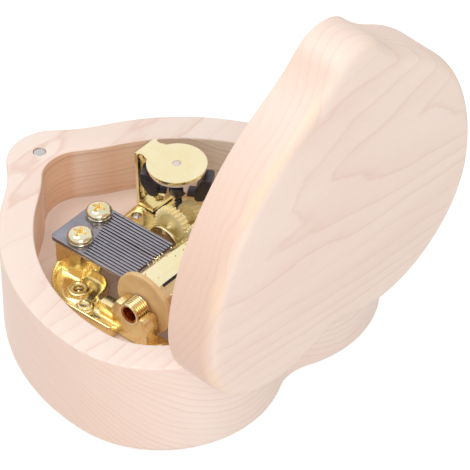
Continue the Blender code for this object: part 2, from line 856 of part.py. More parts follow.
def make_comb():
    """Plate and tines in one outline. The tines are longer towards the far end."""
    far_x = comb_near_x - tine_pitch * tine_count + tine_slot
    tips = tip_line()
    outline = [Vector((comb_near_x, comb_back_y + comb_corner))]
    outline.append(Vector((comb_near_x - comb_corner, comb_back_y)))
    outline.append(Vector((far_x + comb_corner / 3, comb_back_y)))
    outline.append(Vector((far_x, comb_back_y + comb_corner / 3)))
    for tine in range(tine_count):
        left = far_x + tine * tine_pitch
        right = left + tine_pitch - tine_slot
        outline += [Vector((left, tips)), Vector((right, tips))]
        if tine < tine_count - 1:
            share = (tine + 0.5) / (tine_count - 1)
            root = slot_root_far_y + (slot_root_near_y - slot_root_far_y) * share
            outline += [Vector((right, root)), Vector((right + tine_slot, root))]
    comb = prism("comb", outline, comb_top - comb_thickness, comb_top, steel())
    # The tines are ground thinner underneath towards their tips
    low = comb_top - comb_thickness
    below = low - comb_thickness
    ground_y = slot_root_near_y + tine_pitch
    past_tips = tips + comb_thickness
    wedge = [(ground_y, low), (past_tips, comb_top - tine_tip_thickness)]
    wedge += [(past_tips, below), (ground_y, below)]
    cut_prism(comb, wedge, far_x - comb_corner, comb_near_x + comb_corner, "X")
    for x, y in (comb_screw_near, comb_screw_far):
        cut_round(comb, comb_screw_shank + bore_gap, drum_z, comb_top * 2, (x, y, 0.0))
    return comb


def pan_head(radius, height, seat):
    """Profile of a domed screw head that sits on the given height."""
    return [
        (radius * 0.97, seat),
        (radius, seat + height * 0.35),
        (radius * 0.86, seat + height * 0.72),
        (radius * 0.55, seat + height * 0.94),
        (radius * 0.25, seat + height),
    ]


def cross_cut(screw, x, y, top, reach, depth):
    """Cross recess in a screw head."""
    half = reach * 0.17
    for wide, tall in ((reach, half), (half, reach)):
        outline = box_outline(x - wide, x + wide, y - tall, y + tall)
        cut_prism(screw, outline, top - depth, top + depth)


def make_comb_screws():
    for name, place in (("near", comb_screw_near), ("far", comb_screw_far)):
        seat = comb_top + seat_gap
        shank_end = bedplate_top + seat_gap * 2
        profile = [(comb_screw_shank, shank_end), (comb_screw_shank, seat)]
        profile += pan_head(comb_screw_radius, comb_screw_head, seat)
        screw = turned("comb_screw_" + name, profile, (*place, 0.0), gilt(), sides=SMALL_ROUND + 8)
        cross_cut(screw, *place, seat + comb_screw_head, comb_screw_radius * 0.5, comb_screw_head * 0.5)


def pin_places():
    """Angle step and X of every drum pin: a fixed, tune-like scatter over the tines."""
    places = []
    for row in range(pin_rows):
        for tine in range(tine_count):
            mark = (row * 7 + tine * 11 + row * row * 3 + tine * row * 5) % 23
            if mark < 2 and row > 1:
                x = comb_near_x - tine_pitch * (tine_count - tine - 0.5) + tine_slot / 2
                places.append((row, x))
    return places


def make_drum():
    """Thin-walled cylinder, with its seam slot and pins drawn out of its skin."""
    mesh_data = bmesh.new()
    low = drum_far_x
    high = drum_near_x - seat_gap
    inner = drum_radius - drum_wall
    profile = [(inner, low), (drum_radius, low), (drum_radius, high), (inner, high)]
    add_turned(mesh_data, profile, (0.0, drum_y, drum_z), "X", pin_rows, closed=True)
    drum = finish_object("drum", mesh_data, gilt(), (0.0, drum_y, drum_z))
    seam = bmesh.new()
    turn = Matrix.Rotation(seam_angle, 4, "X")
    half = seam_width / 2
    section = [(drum_radius - seam_depth, -half), (drum_radius * 1.2, -half)]
    section += [(drum_radius * 1.2, half), (drum_radius - seam_depth, half)]
    loops = []
    for x in (seam_far_x, seam_near_x):
        turned_points = [turn @ Vector((0.0, reach, across)) for reach, across in section]
        loops.append([Vector((x, drum_y + point.y, drum_z + point.z)) for point in turned_points])
    add_loops(seam, loops)
    boolean(drum, tool_object("cut_drum_seam", seam))
    pins = bmesh.new()
    for row, x in pin_places():
        angle = 2 * math.pi * (row + 0.5) / pin_rows
        turn = Matrix.Rotation(angle, 4, "X")
        root = drum_radius - seam_depth - bore_gap
        corners = []
        for reach in (root, drum_radius + pin_height):
            width = pin_width / 2
            for across, along in ((-width, -width), (width, -width), (width, width), (-width, width)):
                point = turn @ Vector((0.0, reach, across))
                corners.append(Vector((x + along, drum_y + point.y, drum_z + point.z)))
        verts = [pins.verts.new(c) for c in corners]
        for face in ((3, 2, 1, 0), (4, 5, 6, 7), (0, 1, 5, 4), (1, 2, 6, 5), (2, 3, 7, 6), (3, 0, 4, 7)):
            pins.faces.new([verts[i] for i in face])
    boolean(drum, tool_object("join_drum_pins", pins), "UNION")
    return drum


def make_drum_cap():
    hole = arbor_radius + bore_gap
    profile = [
        (hole, drum_near_x),
        (cap_radius, drum_near_x),
        (cap_radius, drum_near_x + cap_thickness * 0.8),
        (cap_radius - cap_thickness * 0.2, drum_near_x + cap_thickness),
        (hole, drum_near_x + cap_thickness),
    ]
    turned("drum_end_cap", profile, (0.0, drum_y, drum_z), nylon(), "X", ROUND, closed=True)


def gear_outline(teeth, module, centre, phase=0.0, depth_in=None, depth_out=None, tooth=None):
    """Plain trapezium teeth about a centre, with backlash at the pitch circle."""
    depth_in = depth_in or gear_bottom_share
    depth_out = depth_out or gear_tip_share
    tooth = tooth or gear_tooth_share
    pitch = module * teeth / 2
    root = pitch - module * depth_in
    tip = pitch + module * depth_out
    step = 2 * math.pi / teeth
    points = []
    for index in range(teeth):
        middle = phase + index * step
        for radius, half in ((root, tooth * 0.66), (tip, tooth * 0.30)):
            points.append((radius, middle - half * step))
        for radius, half in ((tip, tooth * 0.30), (root, tooth * 0.66)):
            points.append((radius, middle + half * step))
    return [Vector((centre[0] + r * math.cos(a), centre[1] + r * math.sin(a))) for r, a in points]


def mesh_phase(driver, driver_teeth, driver_phase, follower, follower_teeth):
    """Phase that puts a follower's gap on the driver's tooth along their centres."""
    line = math.atan2(follower[1] - driver[1], follower[0] - driver[0])
    driver_step = 2 * math.pi / driver_teeth
    follower_step = 2 * math.pi / follower_teeth
    share = (line - driver_phase) / driver_step
    return line + math.pi + share * follower_step + follower_step / 2


def make_train():
    drum_phase = 0.0
    idler_phase = mesh_phase(drum_point, drum_gear_teeth, drum_phase, idler_point, idler_teeth)
    pinion_phase = mesh_phase(idler_point, idler_teeth, idler_phase, wheel_point, pinion_teeth)
    low = gear_near_x - gear_width
    # Drum gear, pinned to the arbor
    outline = gear_outline(drum_gear_teeth, gear_module, drum_point, drum_phase)
    origin = (0.0, drum_y, drum_z)
    gear = prism("drum_gear", outline, low, gear_near_x, nylon(), "X", origin)
    past = (low - gear_width, gear_near_x + gear_width)
    cut_round(gear, arbor_radius + bore_gap, *past, origin, "X", TINY_ROUND)
    # Idler: moulded in one with its pivots and its recessed near face
    origin = (0.0, idler_point.x, idler_point.y)
    outline = gear_outline(idler_teeth, gear_module, idler_point, idler_phase)
    idler = prism("idler_gear", outline, low, gear_near_x, nylon(), "X", origin)
    floor, above = gear_near_x - idler_recess_depth, gear_near_x + idler_recess_depth
    hub, rim = sleeve_radius, idler_radius - idler_rim
    recess = [(hub, floor), (rim, floor), (rim, above), (hub, above)]
    ring = bmesh.new()
    add_turned(ring, recess, origin, "X", SMALL_ROUND, closed=True)
    boolean(idler, tool_object("cut_idler", ring))
    near_end = train_plate_near_x - bore_gap
    far_end = train_plate_far_x + bore_gap
    join_turned(idler, [(pivot_radius, far_end), (pivot_radius, near_end)], origin, "X", TINY_ROUND)
    # Worm wheel: moulded wheel, sleeve, pinion and pivots
    worm_module = 2 * worm_wheel_radius / worm_wheel_teeth
    half = worm_wheel_width / 2
    origin = (0.0, wheel_y, wheel_z)
    mesh_data = bmesh.new()
    lead = worm_starts * math.pi * worm_module
    twist = worm_wheel_width / worm_wheel_radius * lead / (2 * math.pi * worm_radius)
    sections = 4
    loops = []
    for step in range(sections + 1):
        share = step / sections - 0.5
        turn = math.pi + math.pi / worm_wheel_teeth + share * twist
        shares = (worm_wheel_root_share, worm_wheel_tip_share, worm_wheel_tooth_share)
        outline = gear_outline(worm_wheel_teeth, worm_module, wheel_point, turn, *shares)
        loops.append([Vector((wheel_centre_x + share * worm_wheel_width, p.x, p.y)) for p in outline])
    add_loops(mesh_data, loops)
    wheel = finish_object("worm_wheel", mesh_data, nylon(), origin)
    sleeve = [(sleeve_radius, wheel_centre_x + half - bore_gap), (sleeve_radius, low - bore_gap)]
    join_turned(wheel, sleeve, origin, "X", TINY_ROUND)
    pinion = gear_outline(pinion_teeth, gear_module, wheel_point, pinion_phase)
    join_prism(wheel, pinion, *pinion_ends(0.0), "X")
    pivots = [(pivot_radius, wheel_centre_x - half - pivot_length), (pivot_radius, near_end)]
    join_turned(wheel, pivots, origin, "X", TINY_ROUND)


def make_train_plates():
    """Small upright plates that carry the idler and the worm wheel."""
    foot = bedplate_top + seat_gap
    back = wheel_y - train_plate_head
    front = idler_point.x + train_plate_head * 1.6
    shoulder = wheel_z + train_plate_head
    # Near plate: broad rounded top
    crown = (idler_point.x - train_plate_crown * 0.05, idler_point.y + train_plate_rise - train_plate_crown)
    near = [Vector((back, foot)), Vector((back, shoulder))]
    near += arc(crown, train_plate_crown, math.radians(150), math.radians(5), 10)
    near += [Vector((front, shoulder - train_plate_head)), Vector((front, foot))]
    ends = (train_plate_near_x - train_plate_thickness, train_plate_near_x)
    plate = prism("train_plate_near", near, *ends, gilt(), "X")
    reach = train_plate_thickness
    for point in (idler_point, wheel_point):
        span = (ends[0] - reach, ends[1] + reach)
        cut_round(plate, pivot_radius + bore_gap, *span, (0.0, point.x, point.y), "X", TINY_ROUND)
    # Far plate: slim head, because the wings sweep past behind it
    far = [Vector((back, foot)), Vector((back, shoulder))]
    far.append(Vector((idler_point.x - train_plate_head * 1.25, shoulder + train_plate_head * 0.8)))
    far += arc((idler_point.x, idler_point.y), train_plate_head, math.radians(175), math.radians(10), 6)
    far += [Vector((front, wheel_z)), Vector((front, foot))]
    ends = (train_plate_far_x, train_plate_far_x + train_plate_thickness)
    span = (ends[0] - reach, ends[1] + reach)
    plate = prism("train_plate_far", far, *ends, gilt(), "X")
    cut_round(plate, pivot_radius + bore_gap, *span, (0.0, idler_point.x, idler_point.y), "X", TINY_ROUND)
    cut_round(plate, sleeve_radius + bore_gap, *span, (0.0, wheel_y, wheel_z), "X", TINY_ROUND)


def make_arbor():
    """Steel arbor through the drum, with the crown pinion cut on its far end."""
    origin = (0.0, drum_y, drum_z)
    near_end = bush_start() + bush_length - bush_mouth_depth + seat_gap
    pinion_half = crown_width / 2 + crown_pinion_margin
    far_end = crown_pinion_x - pinion_half - arbor_tail
    profile = [(arbor_radius, far_end), (arbor_radius, near_end)]
    arbor = turned("drum_arbor", profile, origin, bright_steel(), "X", TINY_ROUND)
    down = -math.pi / 2
    outline = gear_outline(crown_pinion_teeth, crown_module, drum_point, down, 1.15, 0.85, 0.42)
    join_prism(arbor, outline, crown_pinion_x - pinion_half, crown_pinion_x + pinion_half, "X")


# Governor


def make_governor():
    origin = (governor_x, governor_y, 0.0)
    worm_module = 2 * worm_wheel_radius / worm_wheel_teeth
    lead = worm_starts * math.pi * worm_module
    sides = 12
    mesh_data = bmesh.new()
    loops = []
    steps = int((hub_bottom - worm_bottom) / (lead / 10))
    for step in range(steps + 1):
        z = worm_bottom + (hub_bottom + seat_gap - worm_bottom) * step / steps
        ring = []
        for side in range(sides):
            angle = 2 * math.pi * side / sides
            wave = math.cos(worm_starts * (angle - 2 * math.pi * (z - wheel_z) / lead - math.pi / 2))
            radius = worm_radius - bore_gap / 2 + worm_tooth * worm_wave * wave
            out = Vector((radius * math.cos(angle), radius * math.sin(angle), z))
            ring.append(Vector(origin) + out)
        loops.append(ring)
    add_loops(mesh_data, loops)
    spindle = finish_object("governor_spindle", mesh_data, black_plastic(), origin)
    hub = [(hub_foot_radius, hub_bottom), (hub_radius, hub_bottom + hub_cone)]
    hub += [(hub_radius, hub_top), (pivot_radius, hub_top)]
    hub += [(pivot_radius, governor_top - cover_thickness - seat_gap)]
    join_turned(spindle, hub, origin)
    foot = [(pivot_radius * 0.8, bedplate_top + seat_gap), (pivot_radius * 0.8, worm_bottom + seat_gap)]
    join_turned(spindle, foot, origin, "Z", TINY_ROUND)


def make_wings():
    """Two hanging weights on arms that reach in to the hub, above the worm."""
    middle = Vector((governor_x, governor_y, 0.0))
    half = wing_width / 2
    profile = [
        (wing_inner, wing_bottom),
        (wing_inner + wing_foot, wing_bottom),
        (wing_outer, wing_top - wing_height * 0.42),
        (wing_outer, wing_top - wing_height * 0.06),
        (wing_outer - wing_height * 0.08, wing_top),
        (wing_outer - wing_height * 0.30, wing_top),
        (wing_inner, wing_bottom + wing_height * 0.45),
    ]
    arm_low = hub_bottom + hub_cone
    arm_ends = (hub_radius + seat_gap, wing_inner + seat_gap)
    arm = [(arm_ends[0], arm_low), (arm_ends[1], arm_low)]
    arm += [(arm_ends[1], arm_low + wing_arm_height), (arm_ends[0], arm_low + wing_arm_height)]
    for name, turn in (("left", wing_turn), ("right", wing_turn + math.pi)):
        out = Vector((math.cos(turn), math.sin(turn), 0.0))
        side = Vector((-out.y, out.x, 0.0))
        weight = bmesh.new()
        loops = []
        for at in (-half, half):
            loops.append([middle + out * r + side * at + Vector((0, 0, z)) for r, z in profile])
        add_loops(weight, loops)
        wing = finish_object("governor_wing_" + name, weight, black_plastic(), middle)
        bar = bmesh.new()
        reach = half * 0.7
        ends = (-reach, reach)
        add_loops(bar, [[middle + out * r + side * at + Vector((0, 0, z)) for r, z in arm] for at in ends])
        boolean(wing, tool_object("join_" + wing.name, bar), "UNION")


def make_ring():
    """Pale brake ring under the cover, with two pins hanging from it."""
    low = ring_top - ring_thickness
    origin = (governor_x, governor_y, 0.0)
    bore = pivot_radius + bore_gap
    boss = pivot_radius * 2.6
    foot = hub_top + seat_gap
    profile = [(bore, foot), (boss, foot), (boss, low), (ring_radius, low)]
    profile += [(ring_radius, ring_top), (bore, ring_top)]
    ring = turned("governor_ring", profile, origin, pale_plastic(), sides=ROUND, closed=True)
    pin = [(ring_pin_radius, low - ring_pin_length), (ring_pin_radius, low + ring_thickness / 2)]
    for turn in (ring_pin_turn, ring_pin_turn + math.pi):
        reach = Vector((math.cos(turn), math.sin(turn), 0.0)) * ring_pin_reach
        join_turned(ring, pin, Vector(origin) + reach, "Z", TINY_ROUND)


def make_bracket():
    """Upright plate bent over into a flared neck and the round cover."""
    low = governor_top - cover_thickness
    half = bracket_width / 2
    flare = bracket_width * 0.12
    neck = cover_radius * 0.55
    cover = arc((governor_x, governor_y), cover_radius, math.radians(-66), math.radians(246), 26)
    left = [(-neck * 0.72, -cover_radius * 1.12), (-neck * 0.86, -cover_radius * 1.28)]
    left.append((-half, bracket_y + flare - governor_y))
    outline = cover + [Vector((governor_x + x, governor_y + y)) for x, y in left]
    outline += [Vector((governor_x - half, bracket_y)), Vector((governor_x + half, bracket_y))]
    outline += [Vector((governor_x - x, governor_y + y)) for x, y in left[::-1]]
    bracket = prism("governor_bracket", outline, low, governor_top, gilt())
    foot = bedplate_top + seat_gap
    upright = box_outline(governor_x - half, governor_x + half, bracket_y, bracket_y + bracket_thickness)
    join_prism(bracket, upright, foot, governor_top - cover_thickness / 2)
    foot_end = rivet_place[1] + rivet_head + seat_gap * 2
    foot_plan = box_outline(governor_x - half, governor_x + half, bracket_y, foot_end)
    join_prism(bracket, foot_plan, foot, foot + bracket_thickness)
    span = (foot - bracket_thickness, foot + bracket_thickness * 2)
    cut_round(bracket, rivet_shank + bore_gap, *span, (*rivet_place, 0.0), sides=TINY_ROUND)
    jewel_hole = (low - cover_thickness, governor_top + cover_thickness)
    cut_round(bracket, jewel_radius + bore_gap, *jewel_hole, (governor_x, governor_y, 0.0))
    rise = cover_thickness / 4
    jewel = [(jewel_radius, low + rise), (jewel_radius, governor_top)]
    jewel.append((jewel_radius / 2, governor_top + rise))
    centre = (governor_x, governor_y, 0.0)
    turned("governor_jewel", jewel, centre, pale_plastic(), sides=SMALL_ROUND)


# Spring works and key


def make_spring_works():
    origin = (barrel_centre_x, drum_y, 0.0)
    low = bedplate_bottom
    high = low + housing_height
    hole = winding_arbor_radius + bore_gap
    inner = housing_radius - housing_wall
    profile = [
        (hole, low),
        (housing_radius, low),
        (housing_radius, high),
        (inner, high),
        (inner, low + housing_wall),
        (hole, low + housing_wall),
    ]
    turned("spring_housing", profile, origin, gilt(), closed=True)
    # Mainspring: one unbroken strip in an even spiral
    mesh_data = bmesh.new()
    start = winding_arbor_radius + seat_gap * 2
    end = inner - seat_gap * 2
    per_turn = 20
    count = spring_turns * per_turn
    spring_low = low + housing_wall + seat_gap
    spring_high = high - seat_gap * 2
    loops = []
    for step in range(count + 1):
        angle = 2 * math.pi * step / per_turn
        radius = start + (end - start) * step / count
        ring = []
        section = [(0.0, spring_low), (spring_thickness, spring_low)]
        section += [(spring_thickness, spring_high), (0.0, spring_high)]
        for across, z in section:
            reach = radius + across
            ring.append(Vector((origin[0] + reach * math.cos(angle), origin[1] + reach * math.sin(angle), z)))
        loops.append(ring)
    add_loops(mesh_data, loops)
    finish_object("mainspring", mesh_data, bright_steel(), origin)
    # Great wheel: a disc that closes the housing, with crown teeth standing on it
    wheel_low = crown_base - great_wheel_thickness
    outer = crown_radius + crown_width / 2
    rim = outer - seat_gap
    hub = [(hole, wheel_low), (outer, wheel_low), (outer, crown_base), (hole, crown_base)]
    wheel = turned("great_wheel", hub, origin, gilt(), closed=True)
    mesh_data = bmesh.new()
    step = 2 * math.pi / crown_teeth
    for index in range(crown_teeth):
        middle = (index + 0.5) * step
        verts = []
        for z, half in ((crown_base - crown_tooth_root, 0.62), (crown_top, 0.26)):
            for radius, sign in ((rim, -1), (rim, 1), (rim - crown_width, 1), (rim - crown_width, -1)):
                angle = middle + sign * half * 0.42 * step
                corner = Vector(origin) + Vector((radius * math.cos(angle), radius * math.sin(angle), z))
                verts.append(mesh_data.verts.new(corner))
        for face in ((3, 2, 1, 0), (4, 5, 6, 7), (0, 1, 5, 4), (1, 2, 6, 5), (2, 3, 7, 6), (3, 0, 4, 7)):
            mesh_data.faces.new([verts[i] for i in face])
    boolean(wheel, tool_object("join_crown_teeth", mesh_data), "UNION")
    # Winding arbor, from the key's thread up through the great wheel
    top = crown_base + winding_arbor_stub
    arbor = [(winding_arbor_radius, key_top() - key_grip), (winding_arbor_radius, top)]
    turned("winding_arbor", arbor, origin, bright_steel(), sides=SMALL_ROUND)


def key_top():
    return recess_depth - seat_gap * 2


def make_key():
    """Butterfly key: a hub with two flat rounded wings, each with a hole."""
    origin = (key_x, key_y, 0.0)
    hole = winding_arbor_radius + bore_gap
    top = key_top()
    profile = [(hole, key_stand + key_wing_height * 0.3), (key_hub_radius, key_stand + key_wing_height * 0.3)]
    profile += [(key_hub_radius, top), (hole, top)]
    key = turned("winding_key", profile, origin, bright_steel(), sides=SMALL_ROUND, closed=True)
    for side in (-1, 1):
        low = key_stand
        high = key_stand + key_wing_height
        reach = key_wing_span / 2
        corner = key_wing_height / 2
        middle = (side * (reach - corner), low + corner)
        start = side * (hole + seat_gap * 2)
        outline = [Vector((start, low + key_wing_height * 0.35))]
        outline += arc(middle, corner, -math.pi / 2, math.pi / 2, 8) if side > 0 else []
        outline += arc(middle, corner, -math.pi / 2, -math.pi * 1.5, 8) if side < 0 else []
        outline.append(Vector((start, high)))
        placed = [Vector((key_x + p.x, p.y)) for p in outline]
        thick = key_wing_thickness / 2
        join_prism(key, placed, key_y - thick, key_y + thick, "Y")
        eye = (key_x + middle[0], key_y, middle[1])
        cut_round(key, corner * 0.45, -key_wing_height, key_wing_height, eye, "Y", TINY_ROUND)
    return key


def make_fasteners():
    seat = counterbore_depth - seat_gap
    for name, (x, y) in zip(("near", "rear", "far"), mount_screw_places()):
        profile = [(mount_head_radius, seat - mount_head_height), (mount_head_radius, seat)]
        profile += [(mount_screw_radius, seat), (mount_screw_radius, bedplate_top)]
        turned("mounting_screw_" + name, profile, (x, y, 0.0), bright_steel(), sides=SMALL_ROUND)
    seat = bedplate_top + seat_gap
    stud = [(small_shank, bedplate_bottom), (small_shank, seat)] + pan_head(stud_head, stud_rise, seat)
    turned("bedplate_stud", stud, (*stud_place, 0.0), gilt(), sides=SMALL_ROUND)
    seat = bedplate_top + seat_gap * 2 + bracket_thickness
    rivet = [(rivet_shank, bedplate_bottom), (rivet_shank, seat)] + pan_head(rivet_head, rivet_rise, seat)
    turned("bracket_rivet", rivet, (*rivet_place, 0.0), gilt(), sides=SMALL_ROUND)


def build():
    for item in list(bpy.data.objects):
        bpy.data.objects.remove(item, do_unlink=True)
    lid_axis = bpy.data.objects.new("lid_axis", None)
    bpy.context.scene.collection.objects.link(lid_axis)
    lid_axis.location = closed_hinge_point()
    lid_axis.rotation_euler = (-open_angle, 0.0, 0.0)
    make_base()
    make_lid(lid_axis)
    make_magnets(lid_axis)
    for side, name in ((-1, "left"), (1, "right")):
        make_hinge(side, name, lid_axis)
    make_bedplate()
    make_bush()
    make_comb()
    make_comb_screws()
    make_drum()
    make_drum_cap()
    make_train()
    make_train_plates()
    make_arbor()
    make_governor()
    make_wings()
    make_ring()
    make_bracket()
    make_spring_works()
    make_key()
    make_fasteners()


build()
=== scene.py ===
# Heart-shaped wooden music box: looks, light and camera. Metres, +Z up.

import json
from math import asin, atan2, cos, hypot, pi, radians, remainder, sin, sqrt, tan

import bmesh
import bpy
from mathutils import Matrix, Vector


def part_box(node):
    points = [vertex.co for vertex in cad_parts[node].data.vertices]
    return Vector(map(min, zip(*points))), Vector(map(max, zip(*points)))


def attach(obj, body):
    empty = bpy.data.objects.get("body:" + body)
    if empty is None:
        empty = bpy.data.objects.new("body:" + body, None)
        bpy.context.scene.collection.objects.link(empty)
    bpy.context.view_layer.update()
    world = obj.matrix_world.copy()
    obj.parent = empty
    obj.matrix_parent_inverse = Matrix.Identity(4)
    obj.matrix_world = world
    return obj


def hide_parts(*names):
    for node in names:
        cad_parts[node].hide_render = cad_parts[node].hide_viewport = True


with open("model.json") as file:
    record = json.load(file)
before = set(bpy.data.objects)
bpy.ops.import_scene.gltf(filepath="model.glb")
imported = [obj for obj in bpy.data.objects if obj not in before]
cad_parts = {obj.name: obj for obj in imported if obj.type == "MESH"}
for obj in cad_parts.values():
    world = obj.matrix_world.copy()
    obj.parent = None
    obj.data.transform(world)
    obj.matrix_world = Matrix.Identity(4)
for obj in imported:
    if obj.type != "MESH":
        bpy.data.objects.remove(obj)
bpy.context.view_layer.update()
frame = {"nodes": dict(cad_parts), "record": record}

MM = 0.001

# Main sizes, as in the CAD part (mm)
LOBE = (17.4, 12.3)
LOBE_R = 28.2
NOTCH_R = 11.2
FLANK_R = 40.7
TIP_R = 10.9
TIP_Y = -49.4
TIP_FLARE = 4.7
WALL = 8.3
INNER_TIP_R = 9.1
BASE_H = 26.0
FLOOR_Z = 11.2
LID_SEAT = 26.3
LID_T = 12.8
LID_CAVITY = 6.0
HINGE_X = LOBE[0]
HINGE_Y = 36.9
HINGE_Z = 25.05
HINGE_BORE = 2.62
OPEN = radians(95.5)
GAP = 0.3
MAGNET_Y = -42.5
MAGNET_BORE = 1.62

# The movement's main places and sizes, as in the CAD part (mm). A place with three
# numbers has its heights given from the ground, and one with two numbers is (y, z).
PLATE_LOW = 11.5
PLATE_TOP = 13.1
PLATE_NEAR_X = 27.0
PLATE_LOBE_R = 13.4
PLATE_LOBE_Y = -8.4
MOUNT_SCREWS = {"near": (20.8, -11.2, 0.0), "rear": (23.6, 16.0, 0.0), "far": (-8.5, -19.5, 0.0)}
STUD = (23.8, -6.6, 0.0)
RIVET = (-16.5, -19.0, 0.0)
POST_X = (20.3, 24.2)
SHOULDER_X = 23.2
POST_BACK = 13.4
TINES = 18
PITCH = 0.93
COMB_NEAR = 17.7
COMB_BACK = -22.9
COMB_TIP = 1.43
COMB_TOP = 22.3
COMB_T = 1.1
COMB_SCREWS = {"near": (14.1, -16.4, 0.0), "far": (4.7, -19.0, 0.0)}
COMB_SCREW_BORE = 1.42
SCREW_R = 3.2
DRUM_Y = 8.1
DRUM_Z = 19.6
DRUM_AXIS = (0.0, DRUM_Y, DRUM_Z)
DRUM_R = 6.4
ARBOR_BORE = 1.12
SEAM = radians(56.5)
CAP_R = 8.1
BUSH_R = 2.9
BARREL = (-19.6, DRUM_Y, 0.0)
BARREL_BORE = 1.42
GEAR_MODULE = 0.35
DRUM_TEETH, IDLER_TEETH, PINION_TEETH, WHEEL_TEETH = 43, 27, 12, 22
IDLER = (-4.0681, 21.0143)
WHEEL = (-7.8, 15.3)
WHEEL_PITCH_R = 3.4
WORM_MODULE = 2 * WHEEL_PITCH_R / WHEEL_TEETH
WORM_PITCH_R = 0.8
GOVERNOR = (-15.3, -12.0, 0.0)


# Materials


class Tree:
    """Short calls for the nodes that the materials and the world share."""

    def __init__(self, owner):
        owner.use_nodes = True
        self.nodes = owner.node_tree.nodes
        self.links = owner.node_tree.links

    def feed(self, socket, value):
        """Link another node's output to a socket, or set a number, vector or colour on it."""
        if isinstance(value, bpy.types.NodeSocket):
            self.links.new(value, socket)
        elif socket.type == "RGBA":
            socket.default_value = (*value, 1.0)
        else:
            socket.default_value = value

    def shade(self, name, value):
        self.feed(self.nodes["Principled BSDF"].inputs[name], value)

    def node(self, kind, **inputs):
        """A new shader node, with its inputs fed by name."""
        node = self.nodes.new("ShaderNode" + kind)
        for name, value in inputs.items():
            self.feed(node.inputs[name], value)
        return node

    def math(self, operation, *values, clamp=False):
        node = self.node("Math")
        node.operation = operation
        node.use_clamp = clamp
        for socket, value in zip(node.inputs, values):
            self.feed(socket, value)
        return node.outputs[0]

    def add(self, a, b):
        return self.math("ADD", a, b)

    def subtract(self, a, b):
        return self.math("SUBTRACT", a, b)

    def multiply(self, a, b, clamp=False):
        return self.math("MULTIPLY", a, b, clamp=clamp)

    def dot(self, vector, direction):
        node = self.node("VectorMath")
        node.operation = "DOT_PRODUCT"
        self.feed(node.inputs[0], vector)
        self.feed(node.inputs[1], direction)
        return node.outputs["Value"]

    def coords(self, kind):
        return self.node("TexCoord").outputs[kind]

    def millimetres(self, axes, scales=(1.0, 1.0, 1.0)):
        """Object coordinates in millimetres along three directions, each times its scale."""
        coords = self.coords("Object")
        return [self.multiply(self.dot(coords, axis), 1000.0 * scale) for axis, scale in zip(axes, scales)]

    def combine(self, values):
        node = self.node("CombineXYZ")
        for socket, value in zip(node.inputs, values):
            self.feed(socket, value)
        return node.outputs["Vector"]

    def noise(self, vector, scale, detail, roughness):
        inputs = {"Vector": vector, "Scale": scale, "Detail": detail, "Roughness": roughness}
        return self.node("TexNoise", **inputs).outputs["Fac"]

    def ramp(self, value, *stops):
        """Grey ramp through stops of (place, level)."""
        node = self.node("ValToRGB", Fac=value)
        elements = node.color_ramp.elements
        while len(elements) < len(stops):
            elements.new(0.5)
        for element, (place, level) in zip(elements, stops):
            element.position = place
            element.color = (level, level, level, 1.0)
        return node.outputs["Color"]

    def blend(self, first, second, factor):
        """Mix of two colours by a factor."""
        node = self.node("Mix")
        node.data_type = "RGBA"
        self.feed(node.inputs["A"], first)
        self.feed(node.inputs["B"], second)
        self.feed(node.inputs["Factor"], factor)
        return node.outputs["Result"]

    def bump(self, height, strength, distance):
        node = self.node("Bump", Strength=strength, Distance=distance, Height=height)
        self.shade("Normal", node.outputs["Normal"])

    def seen_directly(self, low, high):
        """low for the light that falls on things, high where the camera or a gloss sees it."""
        path = self.node("LightPath").outputs
        seen = self.math("MAXIMUM", path["Is Camera Ray"], path["Is Glossy Ray"])
        seen = self.math("MAXIMUM", seen, path["Is Transmission Ray"])
        return self.add(self.multiply(seen, high - low), low)


def new_material(name):
    mat = bpy.data.materials.new(name)
    return mat, Tree(mat)


def srgb(colour):
    """Linear values of an 8-bit sRGB colour."""
    shares = [value / 255.0 for value in colour]
    return tuple(c / 12.92 if c <= 0.04045 else ((c + 0.055) / 1.055) ** 2.4 for c in shares)


